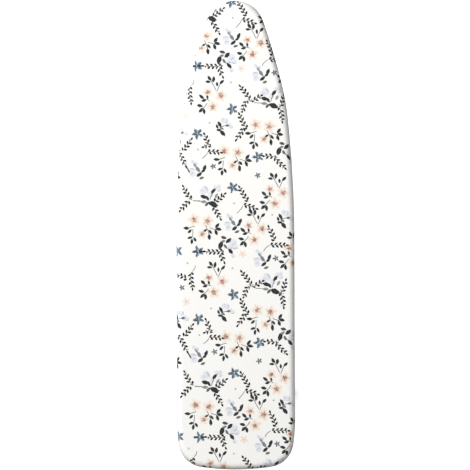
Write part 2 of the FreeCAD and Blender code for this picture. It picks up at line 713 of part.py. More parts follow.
def build_nose_leg():
    for side, name in ((-1, "left"), (1, "right")):
        x = side * NOSE_LEG_X
        tube = leg_tube(x, FIXED_Y, 1, BUSH_R, PIN_R, [(NOSE_BRACE_AT, BRACE_R)])
        save(stand_nose(tube), "nose_leg_tube_" + name)
        save(stand_nose(end_plug(x, FIXED_Y, 1)), "nose_leg_plug_" + name)
        save(make_pivot_bush(side), "pivot_bush_" + name)
        save(foot_cap(side, NOSE_FOOT_HALF, NOSE_FOOT_Y), "nose_leg_foot_" + name)
        save(make_axle_cap(side), "axle_cap_" + name)
    save(foot_bar(NOSE_FOOT_HALF, NOSE_FOOT_Y), "nose_leg_foot_bar")
    brace = rod_x(BRACE_R, -NOSE_LEG_X - TUBE_R - 1, NOSE_LEG_X + TUBE_R + 1,
                  FIXED_Y + NOSE_BRACE_AT, PIVOT_Z)
    save(stand_nose(brace), "nose_leg_brace")
    half = NOSE_LEG_X + TUBE_R + SOFT_GAP + 3.5
    save(rod_x(PIN_R, -half, half, CROSS_Y, CROSS_Z), "centre_axle")
    for node, shape in make_axle_spacers().items():
        save(shape, node)


def build_tail_leg():
    braces = [(distance, BRACE_R) for distance in TAIL_BRACES_AT.values()]
    for side, name in ((-1, "left"), (1, "right")):
        x = side * TAIL_LEG_X
        tube = leg_tube(x, SLIDE_Y, -1, SLIDE_R, PIN_R + RUNNING, braces)
        save(stand_tail(tube), "tail_leg_tube_" + name)
        save(stand_tail(end_plug(x, SLIDE_Y, -1)), "tail_leg_plug_" + name)
        save(foot_cap(side, TAIL_FOOT_HALF, TAIL_FOOT_Y), "tail_leg_foot_" + name)
        save(make_glide_bush(side), "glide_bush_" + name)
        save(make_rod_clip(side), "rod_clip_" + name)
    save(foot_bar(TAIL_FOOT_HALF, TAIL_FOOT_Y), "tail_leg_foot_bar")
    for node, distance in TAIL_BRACES_AT.items():
        brace = rod_x(BRACE_R, -TAIL_LEG_X - TUBE_R - 1, TAIL_LEG_X + TUBE_R + 1,
                      SLIDE_Y - distance, PIVOT_Z)
        save(stand_tail(brace), node)
    half = GLIDE_OUT + GLIDE_FLANGE + 3.0
    save(rod_x(SLIDE_R, -half, half, SLIDE_Y, PIVOT_Z), "slide_rod")


def build_lever():
    save(make_release_bar(), "release_bar")
    save(make_release_arm(), "release_arm")
    save(make_release_grip(), "release_grip")
    save(make_lever_rivets(), "lever_rivets")


os.makedirs("parts", exist_ok=True)
build_deck()
build_nose_leg()
build_tail_leg()
build_lever()
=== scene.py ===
import json
import math
import random

import bmesh
import bpy
import numpy as np
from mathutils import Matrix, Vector
from mathutils.geometry import delaunay_2d_cdt


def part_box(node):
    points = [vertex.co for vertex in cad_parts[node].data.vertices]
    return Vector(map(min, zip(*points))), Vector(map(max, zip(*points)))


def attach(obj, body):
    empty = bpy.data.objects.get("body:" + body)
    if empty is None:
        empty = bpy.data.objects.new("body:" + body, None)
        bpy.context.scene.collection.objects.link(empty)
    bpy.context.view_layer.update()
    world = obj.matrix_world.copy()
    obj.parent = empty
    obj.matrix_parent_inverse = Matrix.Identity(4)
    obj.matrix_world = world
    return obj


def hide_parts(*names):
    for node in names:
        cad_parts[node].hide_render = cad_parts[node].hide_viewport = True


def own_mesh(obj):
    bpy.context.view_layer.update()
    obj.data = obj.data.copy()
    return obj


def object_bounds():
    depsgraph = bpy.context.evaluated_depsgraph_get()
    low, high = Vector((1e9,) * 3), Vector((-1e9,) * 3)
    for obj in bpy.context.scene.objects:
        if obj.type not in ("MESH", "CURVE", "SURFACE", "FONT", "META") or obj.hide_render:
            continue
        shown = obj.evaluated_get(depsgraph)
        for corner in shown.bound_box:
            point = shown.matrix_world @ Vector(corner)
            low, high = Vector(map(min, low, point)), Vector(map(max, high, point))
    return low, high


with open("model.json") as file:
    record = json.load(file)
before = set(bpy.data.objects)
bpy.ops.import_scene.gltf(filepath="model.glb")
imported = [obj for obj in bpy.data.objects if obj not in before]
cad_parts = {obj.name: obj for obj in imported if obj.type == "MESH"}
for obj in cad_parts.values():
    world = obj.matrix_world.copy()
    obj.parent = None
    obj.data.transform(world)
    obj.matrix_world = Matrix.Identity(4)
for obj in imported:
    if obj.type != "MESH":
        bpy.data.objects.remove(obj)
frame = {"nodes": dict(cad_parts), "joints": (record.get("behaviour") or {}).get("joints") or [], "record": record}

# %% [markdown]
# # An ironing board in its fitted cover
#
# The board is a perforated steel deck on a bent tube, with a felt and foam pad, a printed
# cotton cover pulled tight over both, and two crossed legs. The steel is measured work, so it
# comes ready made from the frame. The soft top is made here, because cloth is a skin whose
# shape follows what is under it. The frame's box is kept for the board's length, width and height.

scene = bpy.context.scene
MM = 0.001
cad_low, cad_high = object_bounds()
size = [round(high - low, 4) for low, high in zip(cad_low, cad_high)]
print("the frame's box in metres:", size)

# %% [markdown]
# ## Camera, light and floor
#
# The board is looked at from straight above, as on a packing table, with its nose at the top.
# A long lens far away keeps the legs hidden under the top, as the eye would see it from high
# up. The light is one big soft panel high on the nose side and to the left, so the rounded
# edge falls into a narrow grey band on the right and at the tail. The floor is a sweep of
# white card lit from within: it shows pure white, but throws no light up on the rim. A weak
# panel under the board and a dim white world only keep the underside readable.

# %% Camera straight above
FRAME_HEIGHT = 1.3715
CAMERA_UP = 14.0
SENSOR = 0.036
top_z = cad_high[2]

lens = bpy.data.cameras.new("long_lens")
lens.sensor_width = SENSOR * 1000
lens.lens = SENSOR * 1000 * CAMERA_UP / FRAME_HEIGHT
lens.clip_end = 60.0
camera = bpy.data.objects.new("camera", lens)
camera.location = (-0.001, 0.0, top_z + CAMERA_UP)
camera.rotation_euler = (0.0, 0.0, math.radians(-0.2))
scene.collection.objects.link(camera)
scene.camera = camera
print("lens", round(lens.lens), "mm at", CAMERA_UP, "m")


# %% Colours and nodes: the small helpers
def paint(code):
    """An sRGB hex colour as linear RGBA."""
    parts = [int(code[i:i + 2], 16) / 255 for i in (1, 3, 5)]
    linear = [p / 12.92 if p <= 0.04045 else ((p + 0.055) / 1.055) ** 2.4 for p in parts]
    return (*linear, 1.0)


def feed(tree, node, inputs):
    """Fills a node's sockets. inputs lists the first ones in order, or pairs sockets with what
    goes in: a value, another node's output, or a node, which stands for its first output."""
    pairs = inputs if isinstance(inputs, dict) else dict(enumerate(inputs))
    for socket, value in pairs.items():
        if isinstance(value, bpy.types.Node):
            value = value.outputs[0]
        if isinstance(value, bpy.types.NodeSocket):
            tree.links.new(value, node.inputs[socket])
        else:
            node.inputs[socket].default_value = value


def add(tree, kind, inputs=(), **settings):
    """Adds a node with its settings and links. A shader node's kind leaves out ShaderNode."""
    family = "" if kind.startswith(("Geometry", "Function", "NodeGroup")) else "ShaderNode"
    node = tree.nodes.new(family + kind)
    for name, value in settings.items():
        setattr(node, name, value)
    feed(tree, node, inputs)
    return node


def new_material(name):
    """An empty material, its tree and its Principled shader."""
    material = bpy.data.materials.new(name)
    material.use_nodes = True
    tree = material.node_tree
    return material, tree, tree.nodes["Principled BSDF"]


# %% Floor and lights
def make_floor():
    material, tree, shader = new_material("matt white card")
    feed(tree, shader, {"Base Color": paint("#FAFAFA"), "Roughness": 1.0,
                        "Specular IOR Level": 0.0, "Emission Color": paint("#FFFFFF"),
                        "Emission Strength": 0.55})
    bpy.ops.mesh.primitive_plane_add(size=30.0, location=(0, 0, 0))
    floor = bpy.context.object
    floor.name = "floor"
    floor.visible_diffuse = False
    floor.data.materials.append(material)


def make_light(name, place, aim, width, watts):
    data = bpy.data.lights.new(name, "AREA")
    data.size = width
    data.energy = watts
    light = bpy.data.objects.new(name, data)
    light.location = place
    light.rotation_euler = (Vector(aim) - Vector(place)).to_track_quat("-Z", "Y").to_euler()
    light.visible_camera = False
    scene.collection.objects.link(light)


make_floor()
make_light("window panel", (-4.5, 3.2, 4.0), (0, 0, 0.9), 2.5, 330)
make_light("ceiling panel", (-0.6, 0.8, 6.0), (0, 0, 0), 3.0, 158)
make_light("bounce under the board", (0.0, -0.05, 0.03), (0, -0.05, 0.9), 0.3, 5)
world = bpy.data.worlds.new("white room")
world.use_nodes = True
feed(world.node_tree, world.node_tree.nodes["Background"],
     {"Color": paint("#FFFFFF"), "Strength": 0.12})
scene.world = world
scene.view_settings.view_transform = "Standard"
print("one floor, three lights and a white room")

# %% [markdown]
# ## The outline of the board
#
# A board's outline is drawn as a pattern maker draws it: arcs that all bend the same way and
# run into each other smoothly. Moving such an outline inwards only makes the arcs smaller, so
# one list of arcs gives the cover, the pad and the hem. Each arc is its radius and its heading
# where it ends: 90 degrees runs across the nose tip, 0 straight down the side. None stands for
# the radius that makes the board as wide as the frame says.

# %% Outline as a chain of arcs
LENGTH = size[1]
WIDTH = size[0]
NOSE_ARCS = ((0.088, 19.3), (1.825, 12.7), (0.675, 6.0), (None, 0.0))
TAIL_ARCS = ((0.425, -9.6), (0.076, -81.4), (None, -90.0))


def closed_radii(arcs, start):
    """Fills in the missing radius, so that the arcs span half the width."""
    across = 0.0
    missing = 1.0
    for radius, end in arcs:
        share = abs(math.cos(math.radians(end)) - math.cos(math.radians(start)))
        if radius is None:
            missing = share
        else:
            across += radius * share
        start = end
    closing = (WIDTH / 2 - across) / missing
    return [(closing if radius is None else radius, end) for radius, end in arcs]


def walk_right_side(step):
    """Points and outward normals down the right side, from the nose tip to the tail."""
    place = Vector((0.0, LENGTH / 2))
    heading = 90.0
    points, normals = [place.copy()], [Vector((0.0, 1.0))]
    nose = closed_radii(NOSE_ARCS, 90.0)
    tail = closed_radii(TAIL_ARCS, 0.0)
    before = 0.0
    drop = 0.0
    for radius, end in tail:
        drop += radius * (math.sin(math.radians(before)) - math.sin(math.radians(end)))
        before = end
    for radius, end in nose + [("straight", 0.0)] + tail:
        if radius == "straight":
            run = place.y - drop + LENGTH / 2
            count = round(run / step)
            for i in range(count):
                place = place + Vector((0.0, -run / count))
                points.append(place.copy())
                normals.append(Vector((1.0, 0.0)))
            continue
        turn = math.radians(heading)
        centre = place - radius * Vector((math.cos(turn), math.sin(turn)))
        count = max(2, round(radius * math.radians(heading - end) / step))
        for i in range(1, count + 1):
            turn = math.radians(heading + (end - heading) * i / count)
            normal = Vector((math.cos(turn), math.sin(turn)))
            points.append(centre + radius * normal)
            normals.append(normal)
        place = points[-1].copy()
        heading = end
    return points, normals


def closed_outline(step):
    """The whole outline as two arrays, points and outward normals, clockwise from the nose."""
    points, normals = walk_right_side(step)
    right = np.array([tuple(p) for p in points])
    right_normals = np.array([tuple(n) for n in normals])
    mirror = np.array([-1.0, 1.0])
    left = (right * mirror)[-2:0:-1]
    left_normals = (right_normals * mirror)[-2:0:-1]
    return np.vstack([right, left]), np.vstack([right_normals, left_normals])


RING_STEP = 0.0042
ring, ring_out = closed_outline(RING_STEP)
ring_gap = np.linalg.norm(np.roll(ring, -1, 0) - ring, axis=1)
girth = float(ring_gap.sum())
print(len(ring), "points round the board,", round(girth, 3), "m")

# %% [markdown]
# ## The cover's shape
#
# A fitted cover is one piece of cotton cut larger than the board, with elastic sewn round its
# free edge. It lies dead flat on the pad, turns over the round edge, and is pulled in under
# the rim, where the cloth that is too long for the smaller ring stands up in gathers. The skin
# is built the same way: a flat middle, then a band that is carried round the outline row by
# row. Every point also keeps the place that it had in the flat cloth, so a print or a weave
# can follow the fabric over the edge. A cloth simulation would find nearly this shape, but
# less evenly, because stretched cloth has little freedom left.

# %% Sizes of the soft top
EDGE_R = 0.0172
TUCK_R = 0.011
HEM_INSET = 0.034
CLOTH_T = 0.0008
EDGE_Z = top_z - EDGE_R
TOP_GRID = 0.0031
LINING_GRID = 0.03
GATHER_DEPTH = 0.0022
GATHERS = ((196, 1.0), (241, 0.75), (307, 0.5), (89, 0.5))     # folds round the board, share
GATHER_SEED = 11
GATHER_AT_SIDE = 0.12           # shares of the gathers' depth: where the side ends,
GATHER_AT_TUCK = 0.62           # and where the cloth lies flat under the rim
BEND_SPAN = 25                  # outline points that a bend is averaged over
TIGHTEST = 11.0                 # the bend, per metre, where gathers reach their full depth
STRAIGHT = 0.45                 # the share of that depth along the straight sides
WAVE_GAIN = 1.6                 # the folds seldom peak together, so their sum is raised
EDGE_ROWS, TUCK_ROWS, HEM_ROWS = 10, 7, 8


def edge_section(skin):
    """The cover's section as rows of inset, height, travel along the cloth and gather share,
    for the face that lies skin inside the outer one."""
    rows = []
    for i in range(EDGE_ROWS + 1):
        turn = math.radians(90 - 90 * i / EDGE_ROWS)
        radius = EDGE_R - skin
        travel = EDGE_R * (math.pi / 2 - turn)
        share = max(0.0, (i - 6) / (EDGE_ROWS - 6)) * GATHER_AT_SIDE
        rows.append((EDGE_R - radius * math.cos(turn), EDGE_Z + radius * math.sin(turn),
                     travel, share))
    travel = EDGE_R * math.pi / 2
    for i in range(1, TUCK_ROWS + 1):
        turn = math.radians(90 * i / TUCK_ROWS)
        radius = TUCK_R - skin
        rows.append((TUCK_R - radius * math.cos(turn), EDGE_Z - radius * math.sin(turn),
                     travel + TUCK_R * turn,
                     GATHER_AT_SIDE + (GATHER_AT_TUCK - GATHER_AT_SIDE) * i / TUCK_ROWS))
    travel += TUCK_R * math.pi / 2
    for i in range(1, HEM_ROWS + 1):
        step = (HEM_INSET - TUCK_R) * i / HEM_ROWS
        rows.append((TUCK_R + step, EDGE_Z - TUCK_R + skin, travel + step,
                     GATHER_AT_TUCK + (1 - GATHER_AT_TUCK) * i / HEM_ROWS))
    return rows


def gather_wave():
    """How far the cloth stands out round the board, from -1 to 1, more where it bends."""
    drawn = random.Random(GATHER_SEED)
    along = np.concatenate([[0.0], np.cumsum(ring_gap)[:-1]]) / girth
    wave = np.zeros(len(along))
    for folds, share in GATHERS:
        slow = 0.35 * np.sin(2 * np.pi * (5 * along + drawn.random()))
        wave += share * np.sin(2 * np.pi * (folds * along + drawn.random()) + slow)
    turned = np.roll(ring_out, -1, 0) - ring_out
    bend = np.linalg.norm(turned, axis=1) / ring_gap
    window = np.ones(BEND_SPAN) / BEND_SPAN
    bend = np.convolve(np.tile(bend, 3), window, "same")[len(bend):2 * len(bend)]
    tight = np.clip(STRAIGHT + (1 - STRAIGHT) * bend / TIGHTEST, 0.0, 1.0)
    return wave / sum(share for _, share in GATHERS) * tight * WAVE_GAIN


def band_points(skin):
    """The rows of the band as arrays: points in space and places in the flat cloth."""
    wave = gather_wave()
    start = ring - ring_out * EDGE_R
    places, cloth = [], []
    for inset, height, travel, share in edge_section(skin):
        lift = wave * share * GATHER_DEPTH
        flat = ring - ring_out * inset
        below = 1.0 if inset > TUCK_R * 0.7 and height < EDGE_Z else 0.0
        side = (1.0 - below) * lift
        spot = flat + ring_out * np.minimum(side, 0.0)[:, None]
        places.append(np.column_stack([spot, height - below * lift]))
        cloth.append(start + ring_out * travel)
    return places, cloth


def flat_sheet(grid, inset):
    """Points and triangles inside an inset outline. Its own points come first, in order."""
    border = ring - ring_out * inset
    safe = ring - ring_out * (inset + 0.6 * grid)
    right = safe[safe[:, 0] >= -1e-9]
    right = right[np.argsort(right[:, 1])]
    inner = []
    row_gap = grid * math.sin(math.radians(60))
    rows = int(LENGTH / 2 / row_gap)
    for row in range(-rows, rows + 1):
        y = row * row_gap
        if not right[0, 1] < y < right[-1, 1]:
            continue
        reach = float(np.interp(y, right[:, 1], right[:, 0]))
        shift = 0.5 * (row % 2)
        columns = range(-int(reach / grid) - 1, int(reach / grid) + 2)
        inner += [((c + shift) * grid, y) for c in columns if abs(c + shift) * grid < reach]
    points = [Vector(p) for p in border] + [Vector(p) for p in inner]
    count = len(border)
    edges = [(i, (i + 1) % count) for i in range(count)]
    found, _, faces = delaunay_2d_cdt(points, edges, [], 1, 1e-6)[:3]
    return np.array([tuple(p) for p in found]), [list(face) for face in faces]


def upright(corner_xy, face):
    """The face with its corners counter-clockwise from above."""
    a, b, c = (corner_xy[i] for i in face[:3])
    turn = (b[0] - a[0]) * (c[1] - a[1]) - (b[1] - a[1]) * (c[0] - a[0])
    return face if turn > 0 else face[::-1]


def ring_faces(first, second, outer=True):
    """The faces between two rings of points, given by where each ring starts."""
    count = len(ring)
    ends = [(i, (i + 1) % count) for i in range(count)]
    quads = [[first + i, first + j, second + j, second + i] for i, j in ends]
    return quads if outer else [quad[::-1] for quad in quads]


def build_cover_mesh():
    """The closed skin of the cover, and each point's place in the flat cloth."""
    points, cloth, faces, starts = [], [], [], []
    count = len(ring)
    for skin, grid in ((0.0, TOP_GRID), (CLOTH_T, LINING_GRID)):
        outer = skin == 0.0
        sheet_xy, sheet_faces = flat_sheet(grid, EDGE_R)
        first = sum(len(block) for block in points)
        height = np.full(len(sheet_xy), top_z - skin)
        points.append(np.column_stack([sheet_xy, height]))
        cloth.append(sheet_xy)
        for face in sheet_faces:
            face = upright(sheet_xy, face)
            faces.append([first + i for i in (face if outer else face[::-1])])
        places, flats = band_points(skin)
        band_first = first + len(sheet_xy)
        points += places[1:]
        cloth += flats[1:]
        faces += ring_faces(first, band_first, outer)
        last = band_first + (len(places) - 2) * count
        for row in range(band_first, last, count):
            faces += ring_faces(row, row + count, outer)
        starts.append(last)
    faces += ring_faces(*starts)
    return np.vstack(points), np.vstack(cloth), faces


# %% Build the cover
def mesh_object(name, points, faces):
    """A mesh object at the origin, smooth shaded, from points and faces."""
    mesh = bpy.data.meshes.new(name)
    mesh.from_pydata([tuple(map(float, p)) for p in points], [], faces)
    mesh.update()
    for face in mesh.polygons:
        face.use_smooth = True
    thing = bpy.data.objects.new(name, mesh)
    scene.collection.objects.link(thing)
    return thing


cover_points, cover_cloth, cover_faces = build_cover_mesh()
cover = mesh_object("fitted_cover", cover_points, cover_faces)
cloth_layer = cover.data.attributes.new("cloth_mm", "FLOAT_VECTOR", "POINT")
flat_mm = np.column_stack([cover_cloth / MM, np.zeros(len(cover_cloth))]).astype(np.float32)
cloth_layer.data.foreach_set("vector", flat_mm.ravel())
print("cover:", len(cover_points), "points,", len(cover_faces), "faces")

# %% [markdown]
# ## The print
#
# Cotton like this is printed with a few blocks: two sprays of blossom between leafy twigs,
# four posies of pale blooms, stars, tiny dots, loose sprigs and plain stalks, over and over.
# Here a block is a short list of leaves, stems and petals in millimetres, and a second list
# says where the blocks fall in one repeat. To print it, each small face of the cover is told
# which leaf, stem, petal and star lies nearest, and where it stands in that shape. The
# material then needs to know how to draw only one leaf, one stem, one petal and one star.

# %% Blocks, in millimetres
# Leaves are (right, up, angle, length, tone), stems run from (right, up) to (right, up), and
# blossoms and lobes are (right, up, radius).
SPRAY = {
    "leaves": (
        (-36, 1, 140, 14, 0), (-30, -10, 190, 12, 0), (-19, 0, 100, 10, 0),
        (-41, -25, 165, 14, 0), (-38, -38, 225, 14, 0), (-29, -41, 280, 14, 0),
        (-13, 55, 125, 14, 0), (-1, 52, 80, 14, 0), (-17, 45, 175, 12, 0),
        (9, 38, 95, 11, 0), (23, 44, 45, 13, 0)),
    "stems": ((6, 20, -9, 49), (9, 17, 19, 40), (-12, -10, -33, -5), (-20, -17, -35, -34)),
    "blossoms": ((20, 4, 22), (-4, -28, 22), (-19, 14, 18)),
    "lobes": ()}
GARLAND = {
    "leaves": (
        (-48, 0, 175, 14, 0), (-38, -9, 225, 12, 0), (-38, -28, 200, 12, 0),
        (-32, -39, 265, 13, 0), (-23, -33, 300, 12, 0), (7, -7, 215, 10, 0),
        (22, -11, 310, 12, 0), (19, -26, 275, 15, 0), (42, 7, 50, 14, 0),
        (46, -3, 345, 15, 0), (39, -13, 290, 14, 0)),
    "stems": ((-23, 6, -43, 0), (-29, -3, -32, -30), (8, 8, 18, -19), (20, 1, 40, -5)),
    "blossoms": ((-25, 25, 22), (14, 20, 22), (-1, -17, 18)),
    "lobes": ()}
POSY_LEFT = {
    "leaves": (
        (13, 10, 65, 15, 0), (9, 1, 35, 12, 0), (-3, -10, 215, 15, 0), (4, -20, 200, 12, 0.3),
        (-7, 6, 125, 16, 0.5), (-15, 17, 125, 12, 0.7)),
    "stems": ((-20, 22, 4, -8),),
    "blossoms": (),
    "lobes": ((-24, 2, 10), (-21, -10, 9), (-23, 27, 6), (-13, 22, 6))}
POSY_TALL = {
    "leaves": (
        (-17, 4, 165, 18, 0), (10, 21, 50, 15, 0), (9, -17, 340, 24, 0), (-18, -10, 180, 14, 0.6),
        (-9, -17, 230, 13, 0.2), (-7, 0, 300, 13, 0), (19, 7, 60, 13, 0.7)),
    "stems": ((-24, -9, -48, -8), (0, -6, 14, 26)),
    "blossoms": (),
    "lobes": ((-14, 25, 12), (-22, 18, 9), (15, 31, 8), (25, 34, 7), (26, 25, 7), (2, 11, 9))}
POSY_WIDE = {
    "leaves": (
        (-13, 4, 70, 21, 0), (-4, 26, 165, 14, 0.1), (10, 17, 40, 17, 0), (-6, 15, 200, 12, 0.5),
        (1, 0, 300, 12, 0.3), (16, -14, 310, 16, 0)),
    "stems": ((-2, 6, 18, -18),),
    "blossoms": (),
    "lobes": ((22, 11, 12), (29, -1, 10), (17, 0, 9), (24, -27, 7))}
POSY_SMALL = {
    "leaves": (
        (-12, 10, 120, 15, 0), (-19, 3, 110, 11, 0), (-3, -16, 310, 18, 0), (-14, -7, 180, 12, 0),
        (-6, -2, 150, 11, 0.4), (10, 6, 10, 10, 0.2)),
    "stems": ((-12, 2, 12, 7),),
    "blossoms": (),
    "lobes": ((-4, 21, 8), (5, 19, 9), (15, 8, 8), (22, 3, 7))}

# %% Where the blocks fall in one repeat: millimetres right of the middle and down the cloth
REPEAT = 541.5
LEAF_LONG = 1.38                # a printed leaf over its drawn length, as ink spreads
DRIFT = 2.3                     # the cloth lies a quarter of a degree off the board
REPEAT_TOP = 436.5              # the first whole repeat starts this far up from the middle
BLOCKS = (
    (SPRAY, ((-61, 34), (58, 423), (120, 317), (175, 490))),
    (GARLAND, ((86, 140), (-6, 216), (-95, 416), (-215, 264))),
    (POSY_LEFT, ((-102, 250), (1, 407), (86, 512))),
    (POSY_TALL, ((104, 43), (-74, 329))),
    (POSY_WIDE, ((141, 196), (-30, 470))),
    (POSY_SMALL, ((-33, 123), (144, 393), (-166, 143))))
# Stars are a kind, a radius and places; sprigs and stalks run from their foot to their tip.
STARS = (
    (0, 18.5, ((-8, 69), (-110, 140), (67, 209), (-7, 298), (-171, 483), (-109, 484))),
    (1, 10, ((-159, 48), (-64, 236), (66, 263), (118, 505))),
    (2, 13, ((-146, 89), (21, 492))),
    (3, 4, ((-74, 109), (-108, 187), (-3, 344), (108, 378), (-140, 518), (-9, 533), (-73, 18))))
SPRIGS = (
    (-131, 3, -128, 47), (-144, 24, -172, 12), (44, 44, 18, 6), (38, 44, 23, 73),
    (44, 47, 73, 32), (131, 64, 143, 32), (128, 61, 137, 102), (36, 128, 15, 88),
    (26, 123, 6, 155), (-69, 180, -87, 146), (-70, 172, -88, 178), (-155, 190, -130, 160),
    (-172, 187, -146, 231), (-80, 194, -45, 196), (123, 210, 88, 207), (114, 207, 143, 239),
    (-126, 333, -149, 298), (-134, 336, -158, 362), (38, 339, 15, 301), (24, 348, 58, 359),
    (114, 455, 99, 417), (102, 466, 146, 467), (-62, 338, -34, 319), (-65, 352, -45, 386),
    (-33, 482, -85, 484), (-42, 488, -34, 512))
STALKS = ((-102, 336, -130, 333), (5, 373, 24, 348), (82, 485, 102, 466),
          (-97, 212, -80, 194), (-119, -17, -131, 3))
BOW = 3.0                       # how far the middle of a drawn stem swings off its line


def printed_shapes():
    """All leaves, stems, petals and stars on the cloth, in its flat millimetres."""
    leaves, stems, petals, stars = [], [], [], []
    for turn in range(-1, 4):
        down = REPEAT_TOP - REPEAT * turn
        right = DRIFT * turn
        for block, places in BLOCKS:
            for x, y in places:
                x, y = x + right, down - y
                leaves += [(x + a, y + b, c, d * LEAF_LONG, e) for a, b, c, d, e in block["leaves"]]
                stems += [(x + a, y + b, x + c, y + d, 0.0, 0.5 * BOW * math.sin(a + c))
                          for a, b, c, d in block["stems"]]
                petals += [(x + a, y + b, r, 0.0, 7 * a + 3 * b) for a, b, r in block["blossoms"]]
                petals += [(x + a, y + b, r, 1.0, math.degrees(math.atan2(b, a)))
                           for a, b, r in block["lobes"]]
        for kind, radius, places in STARS:
            stars += [(x + right, down - y, radius, kind, 10 * math.sin(x)) for x, y in places]
        for leafy, lines in ((1.0, SPRIGS), (0.0, STALKS)):
            stems += [(a + right, down - b, c + right, down - d, leafy, BOW * math.sin(a + c))
                      for a, b, c, d in lines]
    return [np.array(group, dtype=np.float32) for group in (leaves, stems, petals, stars)]


# %% Tell each face its nearest shapes
LEAF_SLIM = 0.5                 # a leaf's width over its length


def nearest(distance, centres, many):
    """For each face centre, the shape with the least distance(centres, shape numbers)."""
    best = np.full(len(centres), 1e9, dtype=np.float32)
    choice = np.zeros(len(centres), dtype=np.int32)
    for index in range(many):
        found = distance(index)
        closer = found < best
        best[closer] = found[closer]
        choice[closer] = index
    return choice


def leaf_place(points, leaf):
    turn = np.radians(leaf[..., 2])
    across = points - leaf[..., :2]
    x = (across[..., 0] * np.cos(turn) + across[..., 1] * np.sin(turn)) / (leaf[..., 3] / 2)
    y = (across[..., 1] * np.cos(turn) - across[..., 0] * np.sin(turn))
    return x, y / (leaf[..., 3] / 2 * LEAF_SLIM)


def stem_place(points, stem):
    run = stem[..., 2:4] - stem[..., :2]
    length = np.maximum(np.hypot(run[..., 0], run[..., 1]), 1.0)
    across = points - stem[..., :2]
    x = (across[..., 0] * run[..., 0] + across[..., 1] * run[..., 1]) / length
    y = (across[..., 1] * run[..., 0] - across[..., 0] * run[..., 1]) / length
    part = np.clip(x / length, 0.0, 1.0)
    return x, y - stem[..., 5] * 4 * part * (1 - part), length


def flower_place(points, flower):
    turn = np.radians(flower[..., 4])
    across = (points - flower[..., :2]) / flower[..., 2:3]
    x = across[..., 0] * np.cos(turn) + across[..., 1] * np.sin(turn)
    y = across[..., 1] * np.cos(turn) - across[..., 0] * np.sin(turn)
    return x, y


def print_cloth(thing):
    """Stores the four nearest-shape layers on every face corner."""
    mesh = thing.data
    flat = np.empty(len(mesh.vertices) * 3, dtype=np.float32)
    mesh.attributes["cloth_mm"].data.foreach_get("vector", flat)
    flat = flat.reshape(-1, 3)[:, :2]
    corners = np.empty(len(mesh.loops), dtype=np.int32)
    mesh.loops.foreach_get("vertex_index", corners)
    totals = np.empty(len(mesh.polygons), dtype=np.int32)
    mesh.polygons.foreach_get("loop_total", totals)
    owner = np.repeat(np.arange(len(totals)), totals)
    centres = np.zeros((len(totals), 2), dtype=np.float32)
    np.add.at(centres, owner, flat[corners])
    centres /= totals[:, None]
    at_corner = flat[corners]
    leaves, stems, petals, stars = printed_shapes()

    def leaf_gap(index):
        x, y = leaf_place(centres, leaves[index])
        return np.hypot(x, y)

    def stem_gap(index):
        x, y, length = stem_place(centres, stems[index])
        beyond = np.maximum(np.maximum(-x, x - length), 0.0)
        return np.hypot(beyond, y) + 2.0 * (1.0 - stems[index][4])

    def round_gap(shapes):
        return lambda index: np.hypot(*(centres - shapes[index][:2]).T) / shapes[index][2]

    layers = {}
    choice = nearest(leaf_gap, centres, len(leaves))
    chosen = leaves[choice][owner]
    x, y = leaf_place(at_corner, chosen)
    layers["leaf"] = (x, y, chosen[:, 4])
    choice = nearest(stem_gap, centres, len(stems))
    chosen = stems[choice][owner]
    x, y, length = stem_place(at_corner, chosen)
    layers["stem"] = (x, y, np.where(chosen[:, 4] > 0.5, length, -length))
    for name, shapes in (("petal", petals), ("star", stars)):
        chosen = shapes[nearest(round_gap(shapes), centres, len(shapes))][owner]
        layers[name] = (*flower_place(at_corner, chosen), chosen[:, 3])
    for name, parts in layers.items():
        parts = [np.clip(part, -60.0, 60.0) for part in parts]
        layer = mesh.attributes.new(name + "_place", "FLOAT_VECTOR", "CORNER")
        layer.data.foreach_set("vector", np.column_stack(parts).astype(np.float32).ravel())
    return {"leaves": len(leaves), "stems": len(stems), "petals": len(petals),
            "stars": len(stars)}


print("printed:", print_cloth(cover))

# %% [markdown]
# ## Printed cotton
#
# The cloth is a plain weave of cotton, bleached to a warm white, with pigment printed on one
# face. Cotton is matt with a faint bloom at grazing angles, which is the shader's sheen. The
# threads are really about 0.3 mm apart; they are drawn four times coarser, so that a close
# view shows them. The pits between the threads get a painted shade, a grey tint where the
# weave lies lowest. Ink fills the pits, so this painted shade only darkens bare cloth, but the
# threads' relief stays. A little noise moves every edge, because no screen prints a
# perfectly sharp line.

# %% Shapes of the print as masks
THREAD_MM = 1.2
SPRIG_STEP = 12.0               # millimetres between the leaf pairs of a sprig
LEAFLET = (5.8, 3.1, 1.0)       # half the length and half the width of a sprig's leaf
LEAFLET_TURN = math.radians(42)
LEAFLET_MIDDLE = (6.6, 4.5, 0.0)    # along the sprig, and off it
LEAFLET_STAGGER = 1.8           # leaves move this far, one side forward and the other back


def pointed_oval(tree, place):
    """1 inside the pointed oval that fills a place from -1 to 1, with a soft edge."""
    parts = add(tree, "SeparateXYZ", (place,)).outputs
    bow = add(tree, "Math", (parts[0], parts[0]), operation="MULTIPLY")
    side = add(tree, "Math", (parts[1],), operation="ABSOLUTE")
    both = add(tree, "Math", (bow, side), operation="ADD")
    edge = add(tree, "MapRange", (both, 1.0, 0.84, 0.0, 1.0))
    return edge


